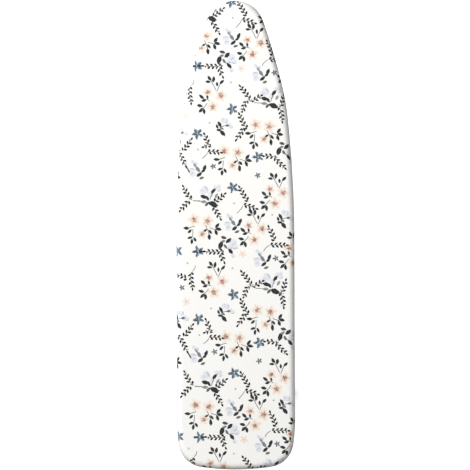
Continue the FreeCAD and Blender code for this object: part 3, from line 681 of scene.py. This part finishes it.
def flower_outline(tree, place, waist, power, turn, pointed=False):
    """A five-petalled outline less the distance from its centre, that distance, the place
    across a petal from -1 to 1, and the stored kind."""
    right, up, kind = add(tree, "SeparateXYZ", (place,)).outputs
    flat = add(tree, "CombineXYZ", (right, up))
    reach = add(tree, "VectorMath", (flat,), operation="LENGTH")
    angle = add(tree, "Math", (up, right), operation="ARCTAN2")
    half = add(tree, "Math", (angle, 2.5, turn), operation="MULTIPLY_ADD")
    across = add(tree, "Math", (half,), operation="SINE")
    wave = add(tree, "Math", (half,), operation="COSINE")
    lobe = add(tree, "Math", (wave,), operation="ABSOLUTE")
    if pointed:
        off = add(tree, "Math", (across,), operation="ABSOLUTE")
        lobe = add(tree, "Math", (1.0, off), operation="SUBTRACT")
    blunt = add(tree, "Math", (lobe, power), operation="POWER")
    rim = add(tree, "Math", (blunt, 1.0 - waist, waist), operation="MULTIPLY_ADD")
    gap = add(tree, "Math", (rim, reach.outputs["Value"]), operation="SUBTRACT")
    return gap, reach.outputs["Value"], across, kind


def wavered(tree, name, wobble):
    """A stored place, moved a little by the wobble."""
    stored = add(tree, "Attribute", attribute_name=name)
    moved = add(tree, "VectorMath", (stored.outputs["Vector"], wobble), operation="ADD")
    return moved


def lay_ink(tree, below, ink, mask):
    """Ink over the colour below it, where the mask is 1."""
    mix = add(tree, "Mix", {"Factor": mask, 6: below, 7: ink}, data_type="RGBA")
    return mix.outputs[2]


# %% The layers of ink
def product(tree, *factors):
    """Masks multiplied together."""
    total = factors[0]
    for factor in factors[1:]:
        total = add(tree, "Math", (total, factor), operation="MULTIPLY")
    return total


def blossom_ink(tree, below, wobble, scrawl):
    """Faint five-petalled flowers with coral hearts."""
    place = wavered(tree, "petal_place", wobble)
    gap, reach, across, kind = flower_outline(tree, place, 0.5, 0.6, 0.4)
    flower = add(tree, "Math", (kind, 0.5), operation="LESS_THAN")
    ramp = add(tree, "ValToRGB", (reach,))
    stops = ramp.color_ramp.elements
    stops[0].position, stops[0].color = 0.05, paint("#D8A592")
    stops[1].position, stops[1].color = 1.0, paint("#FBF5E4")
    for place_on, code in ((0.2, "#E9C6B4"), (0.38, "#F3DFCE"), (0.62, "#F8ECDD")):
        stops.new(place_on).color = paint(code)
    petal = add(tree, "MapRange", (gap, 0.0, 0.2, 0.0, 0.9))
    below = lay_ink(tree, below, ramp, product(tree, petal, flower))
    side = add(tree, "Math", (across,), operation="ABSOLUTE")
    vein = add(tree, "MapRange", (side, 0.26, 0.06, 0.0, 0.6))
    outer = add(tree, "MapRange", (reach, 0.85, 0.5, 0.0, 1.0))
    below = lay_ink(tree, below, paint("#B5A99A"), product(tree, vein, outer, petal, flower))
    ragged = wavered(tree, "petal_place", scrawl)
    spoke = flower_outline(tree, ragged, 0.06, 4.0, 0.9)[0]
    stamen = add(tree, "MapRange", (spoke, 0.0, 0.06, 0.0, 0.85))
    near = add(tree, "MapRange", (reach, 0.26, 0.42, 1.0, 0.0))
    return lay_ink(tree, below, paint("#7E4A3E"), product(tree, stamen, near, flower))


def pale_petal_ink(tree, below, wobble):
    """Periwinkle grey petals, longer than wide, with a darker brush mark down one side."""
    place = wavered(tree, "petal_place", wobble)
    _, across, kind = add(tree, "SeparateXYZ", (place,)).outputs
    slim = add(tree, "Mapping", {"Vector": place, "Scale": (0.92, 1.25, 0.0)})
    reach = add(tree, "VectorMath", (slim,), operation="LENGTH")
    reach = reach.outputs["Value"]
    soft = add(tree, "MapRange", (reach, 1.1, 0.75, 0.0, 0.8))
    brushed = add(tree, "MapRange", (across, -0.22, -0.5, 0.0, 0.9))
    colour = lay_ink(tree, paint("#DEE2EB"), paint("#A3ACBB"), brushed)
    return lay_ink(tree, below, colour, product(tree, soft, kind))


def stem_ink(tree, below, wobble):
    """Thin stems, and sprigs that carry leaves in pairs and one at the tip."""
    place = wavered(tree, "stem_place", wobble)
    x, y, length = add(tree, "SeparateXYZ", (place,)).outputs
    side = add(tree, "Math", (y,), operation="ABSOLUTE")
    reach = add(tree, "Math", (length,), operation="ABSOLUTE")
    left = add(tree, "Math", (reach, x), operation="SUBTRACT")
    thin = add(tree, "MapRange", (side, 1.2, 0.7, 0.0, 0.95))
    begun = add(tree, "Math", (x, 0.0), operation="GREATER_THAN")
    ended = add(tree, "Math", (left, 0.0), operation="GREATER_THAN")
    within = add(tree, "Math", (begun, ended), operation="MULTIPLY")
    line = add(tree, "Math", (thin, within), operation="MULTIPLY")
    below = lay_ink(tree, below, paint("#3A433F"), line)
    sign = add(tree, "Math", (y,), operation="SIGN")
    behind = add(tree, "Math", (sign, LEAFLET_STAGGER, x), operation="MULTIPLY_ADD")
    along = add(tree, "Math", (behind, SPRIG_STEP, 0.0), operation="WRAP")
    pair = add(tree, "CombineXYZ", (along, side))
    leaf = add(tree, "Mapping", {"Vector": pair, "Rotation": (0.0, 0.0, LEAFLET_TURN),
                                 "Scale": LEAFLET, "Location": LEAFLET_MIDDLE},
               vector_type="TEXTURE")
    pairs = add(tree, "Math", (pointed_oval(tree, leaf), within), operation="MULTIPLY")
    tip_place = add(tree, "CombineXYZ", (left, y))
    tip = add(tree, "Mapping", {"Vector": tip_place, "Scale": LEAFLET,
                                "Location": (-LEAFLET[0], 0.0, 0.0)},
              vector_type="TEXTURE")
    leaves = add(tree, "Math", (pairs, pointed_oval(tree, tip)), operation="MAXIMUM")
    sprig = add(tree, "Math", (length, 0.0), operation="GREATER_THAN")
    mask = add(tree, "Math", (leaves, sprig), operation="MULTIPLY")
    return lay_ink(tree, below, paint("#161B19"), mask)


def leaf_ink(tree, below, wobble, cloud):
    """Charcoal green leaves with a paler midrib; the stored tone turns them grey."""
    place = wavered(tree, "leaf_place", wobble)
    _, across, tone = add(tree, "SeparateXYZ", (place,)).outputs
    side = add(tree, "Math", (across,), operation="ABSOLUTE")
    rib = add(tree, "MapRange", (side, 0.16, 0.03, 0.0, 0.18))
    uneven = add(tree, "Math", (cloud, 0.1, tone), operation="MULTIPLY_ADD")
    blade = lay_ink(tree, paint("#0B1110"), paint("#A9B2B6"), uneven)
    blade = lay_ink(tree, blade, paint("#8B9693"), rib)
    return lay_ink(tree, below, blade, pointed_oval(tree, place))


def star_ink(tree, below, wobble, cloud):
    """Slate stars whose petals are dark on one half, small ones, peach ones, and dots."""
    place = wavered(tree, "star_place", wobble)
    gap, reach, across, kind = flower_outline(tree, place, 0.26, 0.4, 1.13, pointed=True)
    share = add(tree, "Math", (kind, 3.0), operation="DIVIDE")
    ramp = add(tree, "ValToRGB", (share,))
    ramp.color_ramp.interpolation = "CONSTANT"
    stops = ramp.color_ramp.elements
    stops[0].position, stops[0].color = 0.0, paint("#5B829C")
    stops[1].position, stops[1].color = 0.2, paint("#4B5C68")
    stops.new(0.5).color = paint("#F5E0D0")
    stops.new(0.85).color = paint("#B4A795")
    bold = add(tree, "Math", (kind, 1.5), operation="LESS_THAN")
    half = add(tree, "MapRange", (across, -0.3, 0.15, 0.0, 0.95))
    edge = add(tree, "MapRange", (gap, 0.2, 0.06, 0.0, 0.7))
    both = add(tree, "Math", (half, edge), operation="MAXIMUM")
    petal = lay_ink(tree, ramp, paint("#86A5B9"), product(tree, cloud, bold))
    petal = lay_ink(tree, petal, paint("#1B3242"), product(tree, both, bold))
    heart = add(tree, "MapRange", (reach, 0.16, 0.06, 0.0, 0.75))
    middle = lay_ink(tree, paint("#A2958A"), paint("#D9E2E6"), bold)
    petal = lay_ink(tree, petal, middle, heart)
    mask = add(tree, "MapRange", (gap, -0.02, 0.1, 0.0, 0.95))
    return lay_ink(tree, below, petal, mask)


# %% Put the cloth together
def make_printed_cotton():
    material, tree, shader = new_material("printed plain-weave cotton")
    cloth = add(tree, "Attribute", attribute_name="cloth_mm").outputs["Vector"]
    drift = add(tree, "TexNoise", {"Vector": cloth, "Scale": 0.16, "Detail": 3.0})
    centred = add(tree, "VectorMath", (drift.outputs["Color"], (0.5, 0.5, 0.5)),
                  operation="SUBTRACT")
    small = add(tree, "VectorMath", (centred, (0.5, 0.5, 0.0)), operation="MULTIPLY")
    scrawl = add(tree, "VectorMath", (centred, (1.1, 1.1, 0.0)), operation="MULTIPLY")
    large = add(tree, "VectorMath", (centred, (2.2, 2.2, 0.0)), operation="MULTIPLY")
    cloud = add(tree, "TexNoise", {"Vector": cloth, "Scale": 0.4}).outputs["Fac"]
    ground = add(tree, "TexNoise", {"Vector": cloth, "Scale": 0.02, "Detail": 4.0})
    colour = lay_ink(tree, paint("#FDFCFA"), paint("#F9F8F4"), ground.outputs["Fac"])
    turns = add(tree, "VectorMath", (cloth, (math.pi / THREAD_MM,) * 3), operation="MULTIPLY")
    waves = add(tree, "VectorMath", (turns,), operation="SINE")
    warp, weft, _ = add(tree, "SeparateXYZ", (waves,)).outputs
    over = add(tree, "Math", (warp, weft), operation="MULTIPLY")
    # painted shade: a grey tint mixed into the bare cloth where the weave's relief is lowest, laid before the inks
    weave_pit_painted_shade = add(tree, "MapRange", (over, -1.0, 1.0, 0.05, 0.0))
    colour = lay_ink(tree, colour, paint("#D9D6CE"), weave_pit_painted_shade)
    colour = blossom_ink(tree, colour, small, scrawl)
    colour = pale_petal_ink(tree, colour, small)
    colour = stem_ink(tree, colour, large)
    colour = leaf_ink(tree, colour, small, cloud)
    colour = star_ink(tree, colour, small, cloud)
    slub = add(tree, "TexNoise", {"Vector": cloth, "Scale": 1.4, "Detail": 2.0})
    height = add(tree, "Math", (slub.outputs["Fac"], 0.9, over), operation="MULTIPLY_ADD")
    bump = add(tree, "Bump", {"Height": height, "Strength": 0.45, "Distance": 0.09 * MM})
    feed(tree, shader, {"Base Color": colour, "Normal": bump, "Roughness": 0.86,
                        "Specular IOR Level": 0.15, "Sheen Weight": 0.08, "Sheen Roughness": 0.5})
    return material


cover.data.materials.append(make_printed_cotton())
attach(cover, "deck")
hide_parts("cover")

# %% [markdown]
# ## The elastic binding and its stitches
#
# The raw edge of the cover is folded into a narrow binding with flat elastic inside, and a
# zigzag stitch runs round it so that the seam can stretch. The binding is an oval tube carried
# round the hem, lifted and lowered by the same gathers. The stitches repeat along a path, so
# Geometry Nodes lay one short thread again and again, turned left and right in turn.

# %% Binding carried round the hem
BINDING_WIDE = 0.0076
BINDING_THICK = 0.0026
CRIMP = 0.00025
CRIMPS = 760


def hem_line(inset, below):
    """Points on the hem, this far in from the outline and below the cover's underside."""
    lift = gather_wave() * GATHER_DEPTH
    flat = ring - ring_out * inset
    height = EDGE_Z - TUCK_R - below - lift
    return np.column_stack([flat, height])


def build_binding():
    count = len(ring)
    around = 14
    middle = hem_line(HEM_INSET + 0.001, -CLOTH_T / 2)
    along = np.arange(count) / count
    crimp = 1.0 + CRIMP / BINDING_THICK * 2 * np.sin(2 * np.pi * CRIMPS * along)
    points = []
    for step in range(around):
        turn = 2 * math.pi * step / around
        out = ring_out * (BINDING_WIDE / 2 * math.cos(turn))
        up = crimp * BINDING_THICK / 2 * math.sin(turn)
        points.append(np.column_stack([middle[:, :2] + out, middle[:, 2] + up]))
    points = np.stack(points, 1).reshape(-1, 3)
    faces = []
    for i in range(count):
        for step in range(around):
            a, b = i * around + step, i * around + (step + 1) % around
            far = (i + 1) % count * around
            faces.append([a, far + step, far + (step + 1) % around, b])
    return points, faces


def make_woven_tape():
    """Bleached cotton tape: a fine grain in its relief and a faint cloudy tone, matt."""
    material, tree, shader = new_material("bleached cotton bias tape")
    place = add(tree, "TexCoord").outputs["Object"]
    fine = add(tree, "TexNoise", {"Vector": place, "Scale": 1.0 / MM, "Detail": 2.0})
    broad = add(tree, "TexNoise", {"Vector": place, "Scale": 0.02 / MM})
    colour = lay_ink(tree, paint("#F6F4EE"), paint("#E9E6DD"), broad.outputs["Fac"])
    bump = add(tree, "Bump", {"Height": fine.outputs["Fac"], "Strength": 0.5,
                              "Distance": 0.15 * MM})
    feed(tree, shader, {"Base Color": colour, "Normal": bump, "Roughness": 0.9,
                        "Sheen Weight": 0.1})
    return material


def outward(thing):
    """Turns a closed shell's faces outwards."""
    shell = bmesh.new()
    shell.from_mesh(thing.data)
    bmesh.ops.recalc_face_normals(shell, faces=shell.faces)
    shell.to_mesh(thing.data)
    shell.free()


binding = mesh_object("elastic_binding", *build_binding())
outward(binding)
tape = make_woven_tape()
binding.data.materials.append(tape)
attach(binding, "deck")
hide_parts("elastic_hem")
print("binding:", len(binding.data.polygons), "faces")


# %% A helper for Geometry Nodes: one tree, its inputs, and the plain mesh that it makes
def new_node_tree(name, inputs):
    """A geometry tree with one geometry input, named inputs and one geometry output."""
    tree = bpy.data.node_groups.new(name, "GeometryNodeTree")
    tree.interface.new_socket("Geometry", in_out="INPUT", socket_type="NodeSocketGeometry")
    for label, kind in inputs:
        tree.interface.new_socket(label, in_out="INPUT", socket_type=kind)
    tree.interface.new_socket("Geometry", in_out="OUTPUT", socket_type="NodeSocketGeometry")
    return tree, add(tree, "NodeGroupInput"), add(tree, "NodeGroupOutput")


def grown_mesh(name, start, tree, values):
    """Runs the tree on a start mesh with its inputs set, and keeps the result as a mesh."""
    carrier = bpy.data.objects.new(name + "_start", start)
    scene.collection.objects.link(carrier)
    modifier = carrier.modifiers.new(name, "NODES")
    modifier.node_group = tree
    for item in tree.interface.items_tree:
        if item.in_out == "INPUT" and item.name in values:
            modifier[item.identifier] = values[item.name]
    ready = carrier.evaluated_get(bpy.context.evaluated_depsgraph_get())
    mesh = bpy.data.meshes.new_from_object(ready)
    bpy.data.objects.remove(carrier)
    mesh.name = name
    for face in mesh.polygons:
        face.use_smooth = True
    thing = bpy.data.objects.new(name, mesh)
    scene.collection.objects.link(thing)
    return thing


def line_mesh(name, loops):
    """A mesh of edges only, a closed line for each loop of points."""
    points, edges = [], []
    for loop in loops:
        first, count = len(points), len(loop)
        points += [tuple(map(float, p)) for p in loop]
        edges += [(first + i, first + (i + 1) % count) for i in range(count)]
    mesh = bpy.data.meshes.new(name)
    mesh.from_pydata(points, edges, [])
    return mesh


# %% Zigzag stitches round the binding
def stitch_tree():
    tree, given, result = new_node_tree("zigzag stitches", (
        ("Spacing", "NodeSocketFloat"), ("Length", "NodeSocketFloat"),
        ("Thread radius", "NodeSocketFloat"), ("Slant", "NodeSocketFloat"),
        ("Thread", "NodeSocketMaterial")))
    sockets = given.outputs
    path = add(tree, "GeometryNodeMeshToCurve", {"Mesh": sockets["Geometry"]})
    spots = add(tree, "GeometryNodeCurveToPoints", {"Curve": path, "Length": sockets["Spacing"]},
                mode="LENGTH")
    bar = add(tree, "GeometryNodeMeshCylinder", {"Vertices": 6,
                                                 "Radius": sockets["Thread radius"],
                                                 "Depth": sockets["Length"]})
    lie = add(tree, "GeometryNodeTransform", {"Geometry": bar.outputs["Mesh"],
                                              "Rotation": (0.0, math.pi / 2, 0.0)})
    number = add(tree, "GeometryNodeInputIndex")
    odd = add(tree, "Math", (number, 2.0), operation="MODULO")
    side = add(tree, "Math", (odd, 2.0, -1.0), operation="MULTIPLY_ADD")
    lean = add(tree, "Math", (side, sockets["Slant"]), operation="MULTIPLY")
    heading = add(tree, "FunctionNodeAlignRotationToVector", {"Vector": spots.outputs["Tangent"]},
                  axis="X")
    slant = add(tree, "CombineXYZ", {2: lean})
    turned = add(tree, "FunctionNodeRotateRotation", (heading, slant), rotation_space="LOCAL")
    laid = add(tree, "GeometryNodeInstanceOnPoints", {"Points": spots.outputs["Points"],
                                                      "Instance": lie, "Rotation": turned})
    real = add(tree, "GeometryNodeRealizeInstances", (laid,))
    dressed = add(tree, "GeometryNodeSetMaterial", {0: real, "Material": sockets["Thread"]})
    feed(tree, result, (dressed,))
    return tree


def make_sewing_thread():
    """Spun polyester thread: bright white, with a little gloss."""
    material, tree, shader = new_material("white spun polyester thread")
    place = add(tree, "TexCoord").outputs["Object"]
    twist = add(tree, "TexNoise", {"Vector": place, "Scale": 2.0 / MM})
    colour = lay_ink(tree, paint("#FFFFFF"), paint("#DDDBD4"), twist.outputs["Fac"])
    feed(tree, shader, {"Base Color": colour, "Roughness": 0.55})
    return material


stitches = grown_mesh(
    "hem_stitches", line_mesh("stitch line", [hem_line(HEM_INSET - 0.0008, 0.00085)]),
    stitch_tree(), {"Spacing": 2.6 * MM, "Length": 3.2 * MM, "Thread radius": 0.2 * MM,
                    "Slant": math.radians(38), "Thread": make_sewing_thread()})
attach(stitches, "deck")
print("stitches:", len(stitches.data.polygons), "faces")

# %% [markdown]
# ## The pad
#
# Under the cover lies a slab of needled felt on a thin foam, cut to the outline and pressed
# flat by the tight cotton. A felt this thin doesn't swell, so it isn't simulated: it is a
# closed slab with a rounded upper edge. From below it shows as grey fibres through the vent
# holes, so its finish matters more than its shape.

# %% Build the pad
pad_low, pad_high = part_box("pad")
PAD_CLEAR = 0.0005              # room under the cover for its small waves
PAD_GRID = 0.02
PAD_ROWS = 8


def build_pad():
    radius = EDGE_R - CLOTH_T - PAD_CLEAR
    lowest = math.degrees(math.asin((pad_low[2] - EDGE_Z) / radius))
    rows = []
    for step in range(PAD_ROWS + 1):
        turn = math.radians(lowest + (90 - lowest) * step / PAD_ROWS)
        rows.append((EDGE_R - radius * math.cos(turn), EDGE_Z + radius * math.sin(turn)))
    points, faces = [], []
    count = len(ring)
    for row, (reach, height) in enumerate(rows):
        points.append(np.column_stack([ring - ring_out * reach, np.full(count, height)]))
        if row:
            first = (row - 1) * count
            for i in range(count):
                j = (i + 1) % count
                faces.append([first + i, first + count + i, first + count + j, first + j])
    for row, up in ((len(rows) - 1, True), (0, False)):
        reach, height = rows[row]
        flat, triangles = flat_sheet(PAD_GRID, reach)
        offset = sum(len(block) for block in points)
        index = {i: row * count + i for i in range(count)}
        points.append(np.column_stack([flat[count:], np.full(len(flat) - count, height)]))
        for face in triangles:
            face = upright(flat, face)
            face = face if up else face[::-1]
            faces.append([index.get(i, offset + i - count) for i in face])
    return np.vstack(points), faces


def make_needled_felt():
    """Polyester felt: short fibres pressed flat every way, pale grey, with darker flecks."""
    material, tree, shader = new_material("needled polyester felt")
    place = add(tree, "TexCoord").outputs["Object"]
    fibres = None
    for turn in (20, 80, 140):
        laid = add(tree, "Mapping", {"Vector": place, "Rotation": (0.0, 0.0, math.radians(turn)),
                                     "Scale": (0.12 / MM, 1.6 / MM, 0.3 / MM)})
        noise = add(tree, "TexNoise", {"Vector": laid, "Scale": 1.0,
                                       "Detail": 1.0}).outputs["Fac"]
        if fibres is None:
            fibres = noise
        else:
            fibres = add(tree, "Math", (fibres, noise), operation="MAXIMUM")
    tone = add(tree, "MapRange", (fibres, 0.45, 0.75))
    colour = lay_ink(tree, paint("#B9B8B2"), paint("#E2E1DC"), tone)
    bump = add(tree, "Bump", {"Height": fibres, "Strength": 0.7, "Distance": 0.5 * MM})
    feed(tree, shader, {"Base Color": colour, "Normal": bump, "Roughness": 0.95,
                        "Sheen Weight": 0.25})
    return material


pad = mesh_object("felt_pad", *build_pad())
pad.data.materials.append(make_needled_felt())
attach(pad, "deck")
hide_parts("pad")
print("pad:", len(pad.data.polygons), "faces")

# %% [markdown]
# ## The return spring
#
# A small compression spring keeps the toothed bar down on the slide rod. A coil follows a
# rule, so Geometry Nodes bend a spiral curve and sweep a round wire along it. Its foot rides
# on the bar's line of travel, so the real spring is squashed towards the deck as the lever is
# pulled; this coil keeps the height of the frame's spring and is carried by the deck.

# %% Coil from a spiral curve
def spring_tree():
    tree, given, result = new_node_tree("compression spring", (
        ("Coil radius", "NodeSocketFloat"), ("Wire radius", "NodeSocketFloat"),
        ("Height", "NodeSocketFloat"), ("Turns", "NodeSocketFloat"),
        ("Place", "NodeSocketVector"), ("Wire", "NodeSocketMaterial")))
    sockets = given.outputs
    spiral = add(tree, "GeometryNodeCurveSpiral", {"Resolution": 40,
                                                   "Rotations": sockets["Turns"],
                                                   "Start Radius": sockets["Coil radius"],
                                                   "End Radius": sockets["Coil radius"],
                                                   "Height": sockets["Height"]})
    section = add(tree, "GeometryNodeCurvePrimitiveCircle",
                  {"Resolution": 10, "Radius": sockets["Wire radius"]})
    wire = add(tree, "GeometryNodeCurveToMesh", {"Curve": spiral, "Profile Curve": section,
                                                 "Fill Caps": True})
    moved = add(tree, "GeometryNodeTransform", {"Geometry": wire,
                                                "Translation": sockets["Place"]})
    real = add(tree, "GeometryNodeRealizeInstances", (moved,))
    dressed = add(tree, "GeometryNodeSetMaterial", {0: real, "Material": sockets["Wire"]})
    feed(tree, result, (dressed,))
    return tree


def make_spring_wire():
    """Drawn spring steel: dark bright wire with fine die marks."""
    material, tree, shader = new_material("drawn spring steel wire")
    place = add(tree, "TexCoord").outputs["Object"]
    marks = add(tree, "TexNoise", {"Vector": place, "Scale": 1.5 / MM, "Detail": 3.0})
    colour = lay_ink(tree, paint("#8F9398"), paint("#B4B8BC"), marks.outputs["Fac"])
    rough = add(tree, "MapRange", {0: marks.outputs["Fac"], 3: 0.22, 4: 0.42})
    feed(tree, shader, {"Base Color": colour, "Roughness": rough, "Metallic": 1.0})
    return material


WIRE_R = 0.0007
wire = make_spring_wire()
spring_low, spring_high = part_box("return_spring")
spring_height = spring_high[2] - spring_low[2] - 2 * WIRE_R
spring_middle = [(low + high) / 2 for low, high in zip(spring_low, spring_high)]
spring = grown_mesh("return_spring_coil", bpy.data.meshes.new("empty"), spring_tree(), {
    "Coil radius": (spring_high[0] - spring_low[0]) / 2 - WIRE_R, "Wire radius": WIRE_R,
    "Height": spring_height, "Turns": 5.0, "Wire": wire,
    "Place": (spring_middle[0], spring_middle[1], spring_low[2] + WIRE_R)})
outward(spring)
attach(spring, "deck")
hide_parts("return_spring")
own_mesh(spring)
print("spring:", round(spring_height / MM, 1), "mm high,", len(spring.data.polygons), "faces")

# %% [markdown]
# ## Powder-coated steel
#
# The tubes and the deck are mild steel, degreased, dusted with charged polyester powder and
# baked. The coat flows into a smooth skin with a faint orange peel and a satin gloss, and it
# is a few hundredths thicker in some places, which shows as a slow change of gloss. The deck
# is a shade lighter than the legs, and fine grey specks of dust lie all over the coat.

# %% Paint and plated metal
def make_powder_coat(name, code, shadow):
    material, tree, shader = new_material(name)
    place = add(tree, "TexCoord").outputs["Object"]
    peel = add(tree, "TexNoise", {"Vector": place, "Scale": 0.45 / MM, "Detail": 1.0})
    broad = add(tree, "TexNoise", {"Vector": place, "Scale": 0.012 / MM, "Detail": 4.0})
    specks = add(tree, "TexNoise", {"Vector": place, "Scale": 1.1 / MM})
    colour = lay_ink(tree, paint(code), paint(shadow), broad.outputs["Fac"])
    dust = add(tree, "MapRange", (specks.outputs["Fac"], 0.66, 0.75, 0.0, 0.35))
    colour = lay_ink(tree, colour, paint("#9A9B98"), dust)
    rough = add(tree, "MapRange", (broad.outputs["Fac"], 0.3, 0.7, 0.3, 0.46))
    bump = add(tree, "Bump", {"Height": peel.outputs["Fac"], "Strength": 0.35,
                              "Distance": 0.06 * MM})
    feed(tree, shader, {"Base Color": colour, "Roughness": rough, "Normal": bump,
                        "Coat Weight": 0.15, "Coat Roughness": 0.25})
    return material


def make_zinc_plate():
    """Bright zinc: a soft grey mirror, clouded, with fine rub marks along the parts."""
    material, tree, shader = new_material("bright zinc plate")
    place = add(tree, "TexCoord").outputs["Object"]
    cloud = add(tree, "TexNoise", {"Vector": place, "Scale": 0.15 / MM, "Detail": 4.0})
    drawn = add(tree, "Mapping", {"Vector": place, "Scale": (0.1 / MM, 2.5 / MM, 2.5 / MM)})
    rubs = add(tree, "TexNoise", {"Vector": drawn, "Scale": 1.0})
    colour = lay_ink(tree, paint("#B9BEC4"), paint("#D2D4D2"), cloud.outputs["Fac"])
    both = add(tree, "Math", (cloud.outputs["Fac"], rubs.outputs["Fac"]), operation="MULTIPLY")
    rough = add(tree, "MapRange", (both, 0.1, 0.4, 0.2, 0.5))
    bump = add(tree, "Bump", {"Height": rubs.outputs["Fac"], "Strength": 0.15,
                              "Distance": 0.02 * MM})
    feed(tree, shader, {"Base Color": colour, "Roughness": rough, "Normal": bump,
                        "Metallic": 1.0})
    return material


# %% Moulded plastics
def make_moulded(name, code, shadow, grain_mm, rough_from, rough_to):
    """A moulded plastic with the fine sparked grain of its steel mould."""
    material, tree, shader = new_material(name)
    place = add(tree, "TexCoord").outputs["Object"]
    grain = add(tree, "TexVoronoi", {"Vector": place, "Scale": 1.0 / (grain_mm * MM)})
    flow = add(tree, "TexNoise", {"Vector": place, "Scale": 0.03 / MM, "Detail": 3.0})
    colour = lay_ink(tree, paint(code), paint(shadow), flow.outputs["Fac"])
    rough = add(tree, "MapRange", (flow.outputs["Fac"], 0.3, 0.7, rough_from, rough_to))
    bump = add(tree, "Bump", {"Height": grain.outputs["Distance"], "Strength": 0.4,
                              "Distance": 0.05 * MM})
    feed(tree, shader, {"Base Color": colour, "Roughness": rough, "Normal": bump})
    return material


# %% Dress the frame's own pieces
finishes = {
    "perforated_steel": make_powder_coat("pale grey powder coat", "#D6D8D8", "#CBCDCE"),
    "frame_paint": make_powder_coat("silver grey powder coat", "#C3C7C9", "#B5B9BC"),
    "zinc_plate": make_zinc_plate(),
    "spring_steel": wire,
    "foot_plastic": make_moulded("grey moulded polypropylene", "#5B6064", "#51565A",
                                 0.9, 0.45, 0.62),
    "bush_plastic": make_moulded("natural acetal", "#ECEBE6", "#E0DFD8", 0.6, 0.3, 0.42),
}
dressed = 0
for part in frame["record"]["subparts"]:
    finish = finishes.get(part["material_slot"])
    node = frame["nodes"][part["node"]]
    if finish:
        for holder in node.material_slots:
            holder.material = finish
        dressed += 1
print("dressed", dressed, "pieces of the frame")

# %% [markdown]
# ## Weld beads at the feet
#
# Each leg tube is cut to a fish mouth that fits round its foot bar and is welded on before
# painting. The bead is a row of small overlapping drops along the line where two round tubes
# meet, and that line has a formula. Geometry Nodes lay the drops along it, a little uneven.

# %% Drops along the fish mouth
def bead_tree():
    tree, given, result = new_node_tree("weld bead", (
        ("Spacing", "NodeSocketFloat"), ("Drop radius", "NodeSocketFloat"),
        ("Seed", "NodeSocketInt"), ("Steel", "NodeSocketMaterial")))
    sockets = given.outputs
    path = add(tree, "GeometryNodeMeshToCurve", {"Mesh": sockets["Geometry"]})
    spots = add(tree, "GeometryNodeCurveToPoints", {"Curve": path, "Length": sockets["Spacing"]},
                mode="LENGTH")
    drop = add(tree, "GeometryNodeMeshIcoSphere", {"Radius": sockets["Drop radius"],
                                                   "Subdivisions": 2})
    uneven = add(tree, "FunctionNodeRandomValue", {2: 0.85, 3: 1.15, "Seed": sockets["Seed"]})
    laid = add(tree, "GeometryNodeInstanceOnPoints", {"Points": spots.outputs["Points"],
                                                      "Instance": drop.outputs["Mesh"],
                                                      "Scale": uneven.outputs[1]})
    real = add(tree, "GeometryNodeRealizeInstances", (laid,))
    painted = add(tree, "GeometryNodeSetMaterial", {0: real, "Material": sockets["Steel"]})
    feed(tree, result, (painted,))
    return tree


MOUTH_STEPS = 48                # points round one fish mouth


def fish_mouth(tube, bar, through):
    """The line where a leg tube, which runs through a point, meets its foot bar."""
    tube_low, tube_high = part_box(tube)
    bar_low, bar_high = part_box(bar)
    foot = Vector(((tube_low[0] + tube_high[0]) / 2, (bar_low[1] + bar_high[1]) / 2,
                   (bar_low[2] + bar_high[2]) / 2))
    radius = (tube_high[0] - tube_low[0]) / 2
    up = Vector((0.0, through[1] - foot.y, through[2] - foot.z)).normalized()
    across = Vector((0.0, -up.z, up.y))
    points = []
    for step in range(MOUTH_STEPS):
        turn = 2 * math.pi * step / MOUTH_STEPS
        rise = radius * abs(math.cos(turn))
        points.append(foot + up * rise + across * radius * math.sin(turn)
                      + Vector((radius * math.cos(turn), 0.0, 0.0)))
    return points


def weld(body, tubes, bar, through):
    """The beads of one leg as one piece."""
    lines = line_mesh(body + " weld line", [fish_mouth(tube, bar, through) for tube in tubes])
    beads = grown_mesh(body + "_weld_beads", lines, bead_tree(), {
        "Spacing": 1.7 * MM, "Drop radius": 1.5 * MM, "Seed": 4,
        "Steel": finishes["frame_paint"]})
    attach(beads, body)
    return len(beads.data.polygons)


joint_places = {joint["name"]: joint["pos_m"] for joint in frame["joints"]}
bead_faces = [
    weld("nose_leg", ("nose_leg_tube_left", "nose_leg_tube_right"), "nose_leg_foot_bar",
         joint_places["fold"]),
    weld("tail_leg", ("tail_leg_tube_left", "tail_leg_tube_right"), "tail_leg_foot_bar",
         joint_places["cross"])]
print("weld beads:", bead_faces, "faces")
